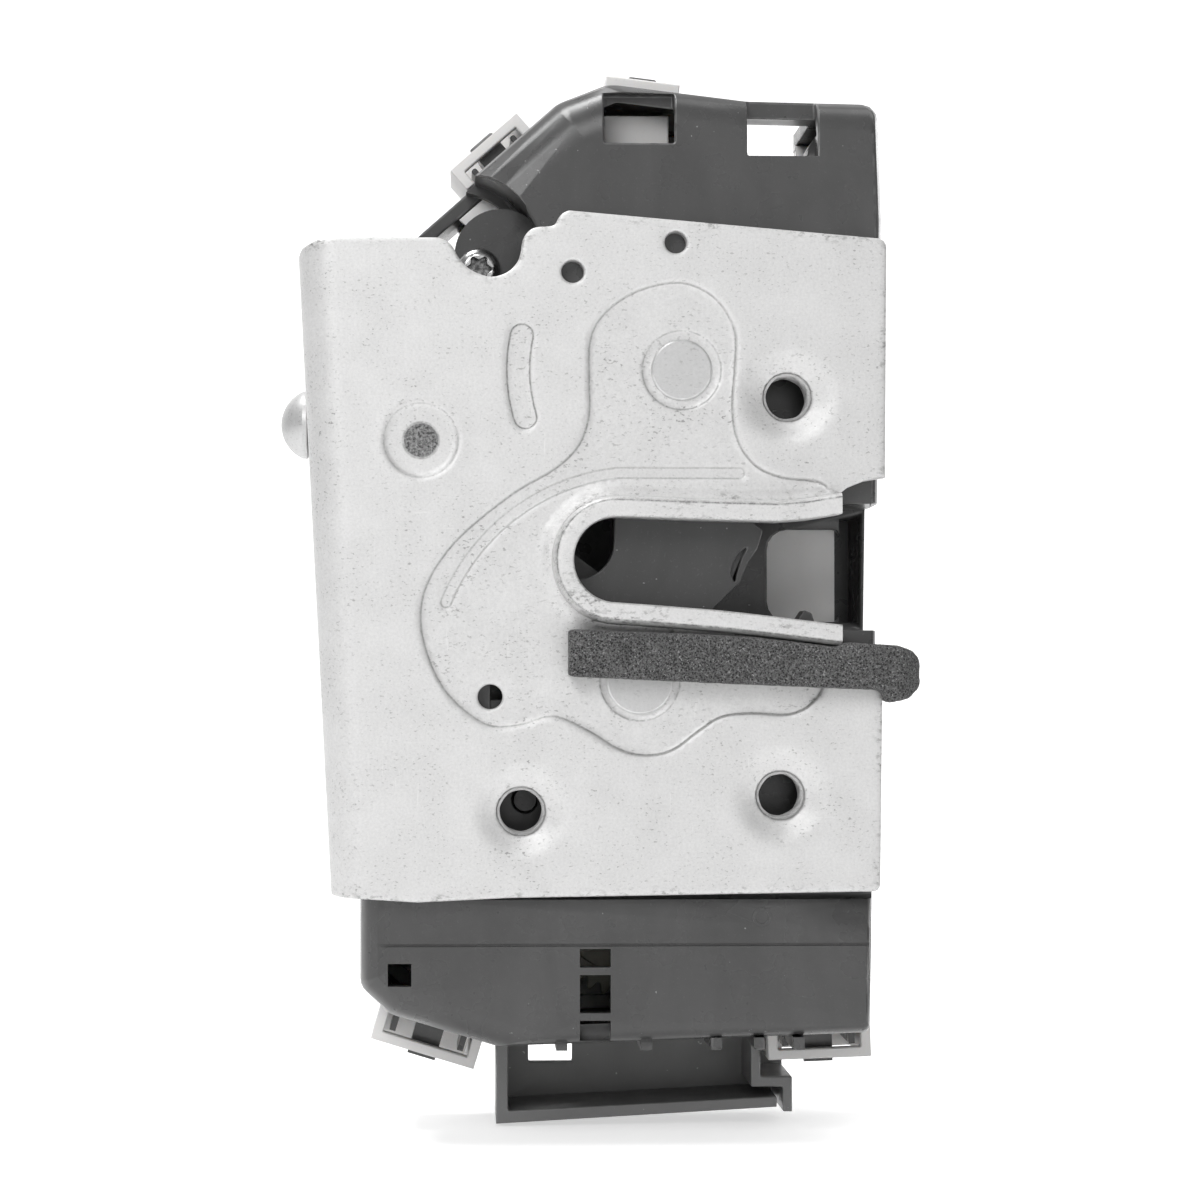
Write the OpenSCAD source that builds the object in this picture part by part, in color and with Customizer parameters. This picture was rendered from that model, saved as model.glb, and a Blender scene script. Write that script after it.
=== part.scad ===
// Car door lock: a steel latch plate with a catch and a pawl behind it, in a moulded housing with a rear
// cover, a lock drive and the levers that release it. Millimetres, +Z up, -Y is the plate's outer face.
// The origin is the centre of the striker slot's round end on the plate's outer face.

/* [Latch plate] */
// Thickness of the steel plate
plate_t = 3; // [2.5:0.1:3.5]
// Right edge of the plate
plate_right = 43.8; // [43:0.1:45]
// Top edge of the plate at its left corner
plate_top = 52.1; // [51.5:0.1:53]
// Bottom edge of the plate
plate_bottom = -54.2; // [-55:0.1:-54]
// Outer face of the side flange at the height of the slot
flange_x = -48.8; // [-49.5:0.1:-48.4]
// Slant of the side flange
flange_slant = 3; // [2:0.1:3.2]
// How far back the side flange reaches
flange_depth = 45; // [40:0.5:50]
// Outer radius of the bend into the side flange
bend_r = 6; // [5:0.1:7]
// Depth of the pressed recess round the mechanism
recess_d = 0.7; // [0.4:0.1:1]

/* [Striker slot] */
// Radius of the slot's round end
slot_r = 6.9; // [6.5:0.1:7]
// Thickness of the rim bent out round the slot
rim_t = 3.4; // [2.8:0.1:3.6]
// How far the rim stands out of the plate
rim_h = 4; // [3:0.1:5]
// Where the rim ends beside the mouth
rim_end = 36.3; // [35:0.1:37]
// How far the striker reaches behind the plate
striker_depth = 25; // [24:0.5:28]

/* [Door screws] */
// Radius of the threaded holes
thread_r = 3.4; // [3:0.05:3.5]
// Radius of the collars drawn out behind the threaded holes
collar_r = 5.2; // [4.8:0.1:5.6]
// Depth of the threaded holes from the plate's outer face
collar_d = 9; // [8:0.5:10]

/* [Catch] */
// Radius of the catch over its locking edge
catch_r = 33; // [32.5:0.1:33.2]
// Radius of the catch pivot's rivet
catch_pin_r = 5.4; // [5:0.1:6]
// Turn of the catch from open to fully closed
catch_turn = 72; // [70:0.5:73]
// Thickness of the steel core of the catch and of the pawl
core_t = 4; // [3.5:0.1:4.5]
// Plastic over the core, on each face
skin_t = 1.4; // [1:0.1:1.4]
// Half width of the throat that holds the striker
throat_r = 6; // [5.8:0.1:6.2]

/* [Pawl] */
// Radius of the pawl pivot's rivet
pawl_pin_r = 4.9; // [4.5:0.1:5.2]
// Radius of the pawl's rounded tip
pawl_tip_r = 2.6; // [2.2:0.1:2.8]
// Turn that lifts the pawl from the catch's locking edge to its rim
pawl_lift = 8; // [7.8:0.1:9]
// Distance of the release pin from the pawl's pivot
tail_r = 26.5; // [26:0.1:27]
// Radius of the release pin
tail_pin_r = 1.6; // [1.4:0.1:1.8]

/* [Levers] */
// Thickness of the pressed steel levers
lever_t = 2; // [1.8:0.1:2.2]
// Radius of the small rivet under the release lever
lever_pin_r = 2.9; // [2.6:0.1:3.2]
// Radius of the rivet in the side flange
flange_pin_r = 2.6; // [2.4:0.1:3]
// Length of the outside lever behind its pivot
outside_arm = 33; // [31:0.5:36]
// Radius of the holes for the rod and the cable end
rod_r = 2.5; // [2:0.1:2.8]

/* [Housing] */
// Wall of the housing and the rear cover
wall = 2.2; // [2:0.1:2.6]
// Radius of the shoulder round the housing's front
shoulder_r = 6; // [4:0.5:6.5]
// Radius of the notch cut round the upper left screw
notch_r = 15.4; // [14.5:0.1:16]

/* [Foam] */
// Thickness of the foam strip
foam_t = 5; // [4:0.2:6]
// Upper edge of the foam strip at its left end
foam_top = -11.2; // [-11.6:0.1:-11]
// Height of the foam strip
foam_h = 8.4; // [7.5:0.1:9]

/* [Lock drive] */
// Radius of the motor
motor_r = 10; // [9:0.5:10]
// Length of the motor's case
motor_l = 23; // [20:0.5:24]
// Space for the wheels between the motor and the rear cover
drive_h = 13.2; // [13:0.1:15]
// Module of the motor's pinion and the drive wheel
wheel_module = 0.8; // [0.76:0.01:0.82]
// Teeth of the drive wheel
wheel_teeth = 45; // [43:1:45]
// Teeth of each pinion
pinion_teeth = 10; // [10:1:11]
// Module of the lock lever's teeth
sector_module = 1; // [0.96:0.01:1.02]
// Teeth that the lock lever's sector would have as a full wheel
sector_teeth = 40; // [38:1:41]
// Turn of the lock lever between locked and unlocked
lock_turn = 36; // [30:1:38]

/* [Fits] */
// Radial running clearance of every pivot
run_fit = 0.05; // [0.03:0.01:0.08]
// Gap between pieces that lie beside each other
gap = 0.3; // [0.25:0.01:0.35]

/* [Hidden] */
$fn = 48;
eps = 0.01;

// Places of the pivots and holes, as [x, z]
catch_at = [3.9, -19.5];
pawl_at = [10.7, 30.8];
lever_at = [-31.5, 19.3];
screw_at = [[27.9, 26.5], [26.7, -38.1], [-15.3, -40.6]];
flange_at = [20, 23];
notch_at = [-26.8, 48.5];
front_screw_at = [-22.1, 48.1];
post_at = [-18.4, 50.6];
upper_screws = [[36, 67], [-35, 38], [-34.5, -62]];

// Depths from the plate's outer face
skin_y = plate_t + gap + 0.2;
core_y = skin_y + skin_t;
skin_end = core_y + core_t + skin_t;
spring_y = core_y + core_t + 0.2;
back_y = skin_end + 0.5;
back_t = 2;
floor_y = back_y + back_t + 1.4;
channel_y = striker_depth;
front_y = plate_t + gap;
lever_y = skin_end + gap;
motor_y = front_y + wall + gap;
cover_y = motor_y + motor_l + drive_h;

function unit(v) = v / norm(v);
function xy(v) = [v[0], v[1]];
function polar(c, r, a) = [c[0] + r * cos(a), c[1] + r * sin(a)];
function turn(v, a) = [v[0] * cos(a) - v[1] * sin(a), v[0] * sin(a) + v[1] * cos(a)];
function arc(c, r, a0, a1, n = 10) = [for (i = [0:n]) polar(c, r, a0 + (a1 - a0) * i / n)];
function prev_i(i, n) = (i + n - 1) % n;

// Outline round two circles of different radius
function capsule(p, q, rp, rq, n = 8) =
    let (d = q - p, a = atan2(d[1], d[0]), b = acos((rp - rq) / norm(d)))
    concat(arc(p, rp, a + b, a + 360 - b, n), arc(q, rq, a - b, a + b, n));

// One rounded corner, and an outline of [x, z, radius, shoulder] points with every corner rounded
function corner(a, b, c, r, n) =
    let (u = unit(a - b), v = unit(c - b), half = acos(max(-1, min(1, u * v))) / 2,
        d = min(r / tan(half), 0.45 * min(norm(a - b), norm(c - b))), rr = d * tan(half),
        m = b + unit(u + v) * (rr / sin(half)), s = b + u * d - m, e = b + v * d - m,
        a0 = atan2(s[1], s[0]), sweep = ((atan2(e[1], e[0]) - a0 + 540) % 360) - 180)
    [for (i = [0:n]) polar(m, rr, a0 + sweep * i / n)];
function rounded(p, n = 4) =
    [for (i = [0:len(p) - 1])
        each corner(xy(p[prev_i(i, len(p))]), xy(p[i]), xy(p[(i + 1) % len(p)]), p[i][2], n)];

// The outline moved inwards by d on every edge and by s times its shoulder weight
function inward(a, b) = let (u = unit(xy(b) - xy(a))) [-u[1], u[0]];
function inset_point(p, i, d, s) =
    let (n = len(p), h = prev_i(i, n), n0 = inward(p[h], p[i]), n1 = inward(p[i], p[(i + 1) % n]),
        d0 = d + s * p[h][3], d1 = d + s * p[i][3], det = n0[0] * n1[1] - n0[1] * n1[0])
    abs(det) < 0.08 ? n0 * (d0 + d1) / 2
        : [(d0 * n1[1] - d1 * n0[1]) / det, (n0[0] * d1 - n1[0] * d0) / det];
function inset(p, d, s = 0) =
    [for (i = [0:len(p) - 1]) let (m = inset_point(p, i, d, s))
        [p[i][0] + m[0], p[i][1] + m[1], max(0.6, p[i][2] - d - s * p[i][3]), p[i][3]]];

// A closed curve through control points
function curve_at(p, i, t) =
    let (n = len(p), a = p[prev_i(i, n)], b = p[i], c = p[(i + 1) % n], d = p[(i + 2) % n])
    0.5 * (2 * b + (c - a) * t + (2 * a - 5 * b + 4 * c - d) * t * t + (3 * b - 3 * c + d - a) * t * t * t);
function curve(p, n = 4) = [for (i = [0:len(p) - 1]) for (k = [0:n - 1]) curve_at(p, i, k / n)];

// A 2D shape in X and Z made solid from y0 to y1
module slab(y0, y1) {
    translate([0, y1, 0]) rotate([90, 0, 0]) linear_extrude(height = y1 - y0) children();
}

// A round bar along Y at p
module bar(p, r, y0, y1) {
    translate([p[0], y0, p[1]]) rotate([-90, 0, 0]) cylinder(r = r, h = y1 - y0);
}

// A cone along Y at p
module cone(p, r0, r1, y0, y1) {
    translate([p[0], y0, p[1]]) rotate([-90, 0, 0]) cylinder(r1 = r0, r2 = r1, h = y1 - y0);
}

// A box between two corners
module block(a, b) {
    translate(a) cube(b - a);
}

module link_2d(p, q, rp, rq) {
    polygon(capsule(p, q, rp, rq));
}

// A solid through rings of equally many points, each ring an outline at its own depth, closed by fans
// round a centre
module loft(rings, depths, centre = [0, 0]) {
    n = len(rings[0]);
    m = len(rings);
    points = concat([for (k = [0:m - 1]) for (v = rings[k]) [v[0], depths[k], v[1]]],
        [[centre[0], depths[0], centre[1]], [centre[0], depths[m - 1], centre[1]]]);
    sides = [for (k = [0:m - 2]) for (i = [0:n - 1]) let (j = (i + 1) % n)
        each [[k * n + i, (k + 1) * n + j, (k + 1) * n + i], [k * n + i, k * n + j, (k + 1) * n + j]]];
    caps = [for (i = [0:n - 1]) let (j = (i + 1) % n, e = (m - 1) * n)
        each [[m * n, j, i], [m * n + 1, e + i, e + j]]];
    polyhedron(points, concat(sides, caps));
}

// Latch plate

// Height of the slot's edges at x, above and below its centreline
slot_top = [[0, slot_r], [14, slot_r - 0.5], [26, slot_r - 0.8], [31, slot_r - 0.4],
    [rim_end, slot_r + 0.5]];
slot_low = [[0, -slot_r], [7, -slot_r - 0.5], [17, -slot_r - 1.3], [25, -slot_r - 2.2],
    [rim_end, -slot_r - 3.6]];

module slot_2d(grow = 0) {
    circle(slot_r + grow);
    polygon(concat([for (v = slot_top) [v[0], v[1] + grow]],
        [for (i = [len(slot_low) - 1:-1:0]) [slot_low[i][0], slot_low[i][1] - grow]]));
}

mouth_top = slot_top[4][1] + rim_t;
mouth_low = slot_low[4][1] - rim_t;

// Cut in the plate's upper edge that leaves the upper left screw free
screw_cut = [[-30, 58], [-29, 52.1], [-27.4, 51.7], [-26.3, 50.6], [-25.5, 48.8], [-23.6, 46.8],
    [-20.4, 45.6], [-17.7, 46.3], [-15.9, 48], [-15.3, 50], [-15.2, 51.6], [-14.4, 53], [-13.2, 53.9],
    [-13.2, 58]];

module plate_2d() {
    difference() {
        polygon(concat([[flange_x - 6, plate_bottom], [flange_x + 3, plate_bottom - 0.1],
            [-32, plate_bottom - 1], [-17, plate_bottom - 0.3]],
            corner([0, plate_bottom], [plate_right - 1, plate_bottom + 0.6], [plate_right, -30], 1.2, 3),
            [[plate_right - 0.6, -24], [plate_right - 0.4, mouth_low - 0.4]],
            [[rim_end + 1.4, mouth_low - 0.4], [rim_end, mouth_low], [rim_end, mouth_top]],
            [[rim_end + 1.3, mouth_top + 1], [rim_end + 4.1, mouth_top + 2.1]],
            [[plate_right - 0.1, mouth_top + 2.6]],
            corner([plate_right, 20], [plate_right + 0.2, plate_top + 0.1], [-8, plate_top + 4.6], 1.5, 3),
            [[-7.6, plate_top + 4.6], [-9.4, plate_top + 3.6], [-10.2, plate_top + 1.8]],
            [[-13.2, plate_top + 1.8], [-15.6, plate_top], [flange_x + 6, plate_top]],
            corner([flange_x + 6, plate_top], [flange_x - 2.9, plate_top - 0.2], [flange_x - 2.6, 0], 4, 5),
            [[flange_x - 6, 30]]));
        polygon(screw_cut);
        translate([-7, 46.7]) circle(1.85);
        translate([9.7, 51.5]) circle(1.8);
        translate([-20.3, -22.1]) circle(2);
    }
}

// Flat plate, bend and side flange, as one bent strip
module plate_strip() {
    rotate([0, -flange_slant, 0]) translate([0, 0, -80]) linear_extrude(height = 160) {
        translate([flange_x + bend_r, 0]) square([plate_right - flange_x + 20, plate_t]);
        intersection() {
            translate([flange_x + bend_r, bend_r]) difference() {
                circle(bend_r);
                circle(bend_r - plate_t);
            }
            translate([flange_x, 0]) square([bend_r, bend_r]);
        }
        translate([flange_x, bend_r]) square([plate_t, flange_depth - bend_r]);
    }
}

recess_points = [[10.5, 45], [3.5, 43.6], [-1.8, 40], [-4.2, 35.6], [-4.4, 29], [-4.4, 23.5], [-6, 18.6],
    [-9.8, 14.8], [-15.8, 11.3], [-22, 6.6], [-26.8, 2], [-30.4, -3.6], [-31.6, -9], [-30.6, -15],
    [-28, -20.6], [-24.2, -24.6], [-20, -26.9], [-15, -26.6], [-10, -25.3], [-4.2, -27.8], [0, -30.4],
    [4.4, -31.6], [9, -30.8], [13.2, -27.8], [17, -25.4], [22, -24.8], [28, -25], [32, -23], [34, -19],
    [35, -8], [35, 6], [34, 12.2], [27, 13.4], [22.6, 15.4], [19.8, 19.4], [18.9, 25], [19.4, 32],
    [19.2, 37.6], [16, 42.6]];

// Groove along the sweep of the release pin
groove_w = 3.8;

module groove_2d() {
    polygon(concat(arc(pawl_at, tail_r + groove_w / 2, 167, 198),
        arc(pawl_at, tail_r - groove_w / 2, 198, 167)));
}

// Shallow line pressed along the catch's rim, then straight above the slot
module rim_line_2d() {
    r = catch_r + 0.8;
    w = 0.8;
    polygon(concat(arc(catch_at, r + w, 158, 96, 12), [[20, catch_at[1] + r + w - 0.2]],
        [[20, catch_at[1] + r - w - 0.2]], arc(catch_at, r - w, 96, 158, 12)));
}

module latch_plate() color("gainsboro") difference() {
    union() {
        intersection() {
            plate_strip();
            slab(-1, flange_depth + 1) plate_2d();
        }
        intersection() {
            slab(-rim_h, plate_t) slot_2d(rim_t);
            block([-30, -rim_h - 1, -30], [rim_end, plate_t, 30]);
        }
        for (p = screw_at) bar(p, collar_r, plate_t - 0.5, collar_d);
    }
    slab(-rim_h - 1, plate_t + 1) slot_2d();
    block([rim_end - eps, -rim_h - 1, -slot_r - 3.6], [rim_end + 20, plate_t + 1, slot_r + 0.4]);
    slab(-1, recess_d) difference() {
        polygon(curve(recess_points, 3));
        slot_2d(rim_t);
    }
    slab(0, recess_d + 0.4) rim_line_2d();
    slab(-1, recess_d) groove_2d();
    bar(lever_at, 6.3, -1, 0.8);
    for (p = screw_at) {
        cone(p, 9, 5, -eps, 1.1);
        bar(p, thread_r, -1, collar_d + 1);
    }
    for (v = [[catch_at, catch_pin_r], [pawl_at, pawl_pin_r], [lever_at, lever_pin_r]]) {
        bar(v[0], v[1], -1, plate_t + 1);
    }
    for (v = [[catch_at, 6.7], [pawl_at, 6.6]]) difference() {
        bar(v[0], v[1], 0, recess_d + 0.3);
        bar(v[0], v[1] - 0.6, -1, recess_d + 1);
    }
    along_x(flange_x - 10, flange_x + 10, flange_pin_r);
}

// Foam strip over the plate, folded back round its right edge
foam_x = -7.8;
foam_end = plate_right + gap + foam_t;

module foam_seal() color([0.24, 0.24, 0.25]) {
    difference() {
        union() {
            slab(-foam_t, 0) polygon([[foam_x, foam_top], [14, foam_top - 0.8], [32, foam_top - 1.8],
                [foam_end - 4, foam_top - 2.6], [foam_end - 1.2, foam_top - 3.4], [foam_end, foam_top - 5],
                [foam_end, foam_top - foam_h - 1], [foam_end - 2, foam_top - foam_h - 2.8],
                [plate_right - 0.5, foam_top - foam_h - 3.6], [plate_right - 1.2, foam_top - foam_h - 1.4],
                [14, foam_top - foam_h - 0.2], [foam_x, foam_top - foam_h + 0.8]]);
            slab(-eps, 20) polygon([[plate_right + gap, foam_top - 2.6], [foam_end - 1.2, foam_top - 3.4],
                [foam_end, foam_top - 5], [foam_end, foam_top - foam_h - 1],
                [foam_end - 2, foam_top - foam_h - 2.8], [plate_right + gap, foam_top - foam_h - 3.4]]);
        }
        slab(-rim_h - 1, gap) slot_2d(rim_t + gap);
        translate([foam_end, -foam_t, -60]) rotate([0, 0, 45]) translate([-2, -2, 0]) cube([4, 4, 100]);
    }
}

// Rivets: each shaft runs from the plate to the back plate, with a head formed behind
module rivet(p, r, head_y, head_r) {
    bar(p, r, recess_d - 0.4, head_y + eps);
    cone(p, head_r, head_r - 0.5, head_y, head_y + 1.1);
}

module catch_rivet() color("silver") rivet(catch_at, catch_pin_r, back_y + back_t, catch_pin_r + 1.4);

module pawl_rivet() color("silver") rivet(pawl_at, pawl_pin_r, back_y + back_t, pawl_pin_r + 1.4);

module lever_rivet() color("dimgray") {
    bar(lever_at, lever_pin_r, 0.4, lever_y + lever_t + gap);
    bar(lever_at, lever_pin_r + 1.5, plate_t, lever_y - gap);
    bar(lever_at, lever_pin_r + 1.7, lever_y + lever_t + gap, lever_y + lever_t + gap + 0.8);
}

// Rivet of the outside lever, along X, with a domed head outside the flange
flange_in = flange_x + plate_t - tan(flange_slant) * (flange_at[1] + 6);
outside_x = flange_in + gap + 0.9;

module along_x(x0, x1, r) {
    translate([x0, flange_at[0], flange_at[1]]) rotate([0, 90, 0]) cylinder(r = r, h = x1 - x0);
}

module flange_rivet() color("silver") {
    head_x = flange_x - tan(flange_slant) * (flange_at[1] + 6) - 0.1;
    along_x(head_x - eps, outside_x + lever_t + gap, flange_pin_r);
    intersection() {
        translate([head_x + 1.6, flange_at[0], flange_at[1]]) sphere(r = 6.1, $fn = 48);
        along_x(head_x - 6, head_x, 5.6);
    }
    along_x(outside_x + lever_t + gap, outside_x + lever_t + gap + 0.8, flange_pin_r + 1.2);
}

// Steel plate behind the catch and the pawl, holding the far ends of their rivets
bridge_at = [-13.5, 1];
bridge_top = [3, 22];

module back_plate() color("lightgray") difference() {
    slab(back_y, back_y + back_t) {
        link_2d(catch_at, bridge_at, catch_pin_r + 5, 4.5);
        link_2d(bridge_at, bridge_top, 4.5, 5);
        link_2d(bridge_top, pawl_at, 5, pawl_pin_r + 4.5);
    }
    bar(catch_at, catch_pin_r, back_y - 1, back_y + back_t + 1);
    bar(pawl_at, pawl_pin_r, back_y - 1, back_y + back_t + 1);
}

// Catch, drawn open: the throat faces the mouth of the slot

seat_v = [17.6, 8.3];
edge_v = [[12.8, 11.8], [16.3, 15.2], [17.1, 17.7], [17.8, 19.3], [19.3, 21.4], [20.1, 24],
    [20.3, 26.1], [22, 34]];
lock_angle = 52;
edge_skin = 1.2;
arm_end = 98;
// Radius of the catch's heel, which the switch's plunger reads
heel_r = catch_r - 12;
// Centre of the round notch beside the arm
notch_v = [-10.1, 22.6];
notch_end_r = 6.06;

module catch_form(r, s) {
    difference() {
        union() {
            circle(12.5 - s);
            polygon(concat([[0, 0]], arc([0, 0], r, 44, arm_end - s, 10)));
            polygon([[0, 0], [1, 30], [-6, 30], [-12, 17]]);
            polygon(concat([[0, 0]], arc([0, 0], heel_r - s, 88, 196, 12)));
            polygon([[1, 0], [2, -11.5 + s], [22, -7 + s], [28.5 - s, 1 + s], [29.5 - s, 7],
                [28.2 - s, 11 - s], [25.5, 12], [10, 10]]);
        }
        translate(seat_v) circle(throat_r + s);
        polygon(concat([seat_v], [for (v = edge_v) v - [s, 0]],
            [[40, 34], [30, 16], seat_v + [5.4 + s, -2.4]]));
        translate(notch_v) circle(notch_end_r + s);
        translate(notch_v) translate([-20, 0]) square([20 + notch_end_r + s, 18]);
    }
}

module at_catch() {
    translate(catch_at) children();
}

module catch_core() color("dimgray") difference() {
    slab(core_y, core_y + core_t) at_catch() difference() {
        catch_form(catch_r, edge_skin);
    }
    bar(catch_at, catch_pin_r + run_fit, core_y - 1, core_y + core_t + 1);
}

// Slit that softens the blow on the catch's edge
slit_points = [[17.5, 21.6], [16.3, 20.6], [15.3, 19], [15, 17.5], [15.6, 16.1], [15.9, 17.2],
    [16.3, 18.6], [16.8, 20.2]];

module catch_sleeve() color([0.33, 0.33, 0.34]) difference() {
    slab(skin_y, skin_end) at_catch() catch_form(catch_r - edge_skin, 0);
    catch_core();
    bar(catch_at, catch_pin_r + run_fit, skin_y - 1, skin_end + 1);
    bar(catch_at, 11, spring_y - 0.1, skin_end + 1);
    slab(skin_y - 1, skin_end + 1) at_catch() polygon(curve(slit_points, 3));
}

// Flat spiral springs, each wound round its rivet and carried by the piece that it turns
module spiral_2d(r0, r1, turns, w) {
    steps = 16 * turns;
    function at(k, d) = polar([0, 0], r0 + (r1 - r0) * k / steps + d, 360 * turns * k / steps);
    polygon(concat([for (k = [0:steps]) at(k, w / 2)], [for (k = [steps:-1:0]) at(k, -w / 2)]));
}

module catch_spring() color("silver") slab(spring_y, spring_y + 1.1) at_catch()
    spiral_2d(catch_pin_r + 0.8, 10.4, 3, 0.7);

// Pawl: a strut from its pivot to the catch's locking edge, drawn lifted to the catch's rim

// Angle that the catch turns past the pawl's tip before it rests against it
overtravel = 2.2;
tip_reach = catch_r - 1;
tip_angle = lock_angle + catch_turn - overtravel - asin(pawl_tip_r / tip_reach);
tip_v = turn(polar(catch_at, tip_reach, tip_angle) - pawl_at, -pawl_lift);
tail_v = polar([0, 0], tail_r, 183);

module at_pawl() {
    translate(pawl_at) children();
}

module pawl_core() color("dimgray") {
    difference() {
        slab(core_y, core_y + core_t) at_pawl() {
            link_2d([0, 0], tip_v, 8, pawl_tip_r);
            link_2d([0, 0], tail_v, 6, 2.6);
        }
        bar(pawl_at, pawl_pin_r + run_fit, core_y - 1, core_y + core_t + 1);
    }
    bar(pawl_at + tail_v, tail_pin_r, core_y + core_t - eps, lever_y + lever_t + gap);
}

module pawl_sleeve() color([0.33, 0.33, 0.34]) difference() {
    slab(skin_y, skin_end - 0.4) at_pawl() {
        link_2d(tail_v * 0.3, tail_v, 6, 3.6);
        link_2d(tip_v * 0.32, tip_v * 0.7, 6.6, 4.5);
    }
    pawl_core();
    bar(pawl_at, 10.6, core_y + core_t, skin_end);
    bar(pawl_at, pawl_pin_r + 1, skin_y - 1, skin_end);
}

module pawl_spring() color("silver") slab(spring_y, spring_y + 1.1) at_pawl()
    spiral_2d(pawl_pin_r + 0.8, 9.6, 3, 0.7);

// Release lever: lifts the pawl's pin when the outside lever presses its left end

pad_r = 2.6;
pad_v = pawl_at + tail_v - lever_at - [0.5, tail_pin_r + pad_r + gap];
short_arm = 9.5;
short_r = 2.5;

module release_lever() color("lightgray") difference() {
    slab(lever_y, lever_y + lever_t) translate(lever_at) {
        link_2d([0, 0], pad_v, 5.6, pad_r);
        link_2d([0, 0], [-short_arm, 0], 5.6, short_r);
    }
    bar(lever_at, lever_pin_r + run_fit, lever_y - 1, lever_y + lever_t + 1);
}

// Outside lever on the flange's rivet, with a round tab over the release lever's left end
module lever_yz() {
    translate([outside_x, 0, 0]) rotate([90, 0, 90])
        linear_extrude(height = lever_t) translate(flange_at) children();
}

rod_v = [outside_arm, 4];
tab_r = 1.4;
tab_v = [lever_y + lever_t / 2 - flange_at[0], lever_at[1] + short_r + 2 * gap + tab_r - flange_at[1]];

module outside_lever() color("lightgray") {
    difference() {
        lever_yz() {
            link_2d([0, 0], rod_v, 6, 4.4);
            link_2d([0, 0], tab_v, 6, 2.4);
        }
        along_x(outside_x - 1, outside_x + lever_t + 1, flange_pin_r + run_fit);
        translate([outside_x - 1, flange_at[0] + rod_v[0], flange_at[1] + rod_v[1]]) rotate([0, 90, 0])
            cylinder(r = rod_r, h = lever_t + 2);
    }
    translate([outside_x + lever_t - eps, flange_at[0] + tab_v[0], flange_at[1] + tab_v[1]])
        rotate([0, 90, 0]) cylinder(r = tab_r, h = lever_at[0] - short_arm - outside_x - lever_t);
}

module outside_spring() color("silver") translate([outside_x + lever_t + 0.1, 0, 0]) rotate([90, 0, 90])
    linear_extrude(height = 0.7) translate(flange_at) spiral_2d(flange_pin_r + 1.9, 6.4, 2, 0.6);

module rod_clip() color([0.85, 0.8, 0.6]) translate([outside_x, flange_at[0] + rod_v[0],
    flange_at[1] + rod_v[1]])
    rotate([0, 90, 0]) difference() {
        union() {
            translate([0, 0, -0.9]) cylinder(r = rod_r - 0.02, h = lever_t + 1.8);
            translate([0, 0, lever_t + 0.02]) cylinder(r = rod_r + 1.4, h = 1.5);
        }
        translate([0, 0, -2]) cylinder(r = rod_r - 1, h = lever_t + 6);
    }

// Housing: a moulded shell, open at the back, with a pocket for the catch and a channel for the striker

// [x, z, corner radius, shoulder weight of the edge that follows]
house = [[-41.4, -69.4, 3, 0.9], [-36.4, -74, 3, 0.8], [-19.4, -79.2, 3, 0.35], [42, -77.2, 1.5, 0.2],
    [44, 56, 9, 0.25], [43.4, 75.5, 3, 0.9], [22, 75.9, 9, 0.9], [-0.8, 78.6, 5, 1.35],
    [-9.2, 75.3, 6, 1.35], [-31.8, 55.4, 8, 1.1], [-41.4, 44, 6, 0.8]];
shoulder_steps = [0, 22, 45, 68, 90];

module shell(d, y0, y1, n = 3) {
    rings = [for (a = shoulder_steps) rounded(inset(house, d, shoulder_r * (1 - sin(a))), n)];
    depths = [for (a = shoulder_steps) y0 + shoulder_r * (1 - cos(a))];
    loft(concat(rings, [rings[len(rings) - 1]]), concat(depths, [y1]));
}

// Space in front of the floor: the sweep of the catch, the pawl and the release lever
module pocket_2d(g = 0) {
    translate(catch_at) circle(catch_r + 0.8 + g, $fn = 72);
    at_pawl() link_2d([0, 0], tip_v, 12 + g, 8.5 + g);
    at_pawl() link_2d([0, 0], tail_v, 12 + g, 9 + g);
    translate(lever_at) link_2d([0, 0], pad_v, 8 + g, 8 + g);
    translate(lever_at) link_2d([0, 0], [-16, 1.6], 8 + g, 7.8 + g);
    for (p = screw_at) translate(p) circle(collar_r + 1.6 + g);
    translate(switch_at - [switch_size[0] + gap + g, switch_size[1] / 2 + gap + g])
        square([switch_size[0] + 4 + g, switch_size[1] + 2 * gap + 2 * g]);
}

// Way of the striker through the housing, open to the right
channel_x = -slot_r - 3;
channel_top = slot_r + 2.4;
channel_low = -slot_r - 4.4;
// Left side of the bar that closes the channel at its open end
bar_x = 38.9;

module channel_2d(g = 0) {
    translate([channel_x - g, channel_low - g]) square([60 + 2 * g, channel_top - channel_low + 2 * g]);
}

boss_r = 4;
screw_r = 1.7;
// Floor of the notch and top of the post that holds the screw in it
notch_y = 20;
front_screw_y = 12;
post_r = 7.7;
motor_at = catch_at + unit([22.1, -41.5]) * (catch_r + 0.8 + wall + motor_r + 1);
motor_flat = 7.8;
rear_screws = concat(upper_screws, [motor_at + [12, -11.5]]);
cradle_y = 16;
drive_angle = 165;
wheel_at = polar(motor_at, (wheel_teeth + pinion_teeth) / 2 * wheel_module, drive_angle);
sector_angle = 140;
lock_at = polar(wheel_at, (sector_teeth + pinion_teeth) / 2 * sector_module, sector_angle);
gear_pin_r = 2;
wheel_y = motor_y + motor_l + 4.2;
wheel_w = 4;
sector_y = wheel_y + wheel_w + 0.4;
sector_t = 2.8;

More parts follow.
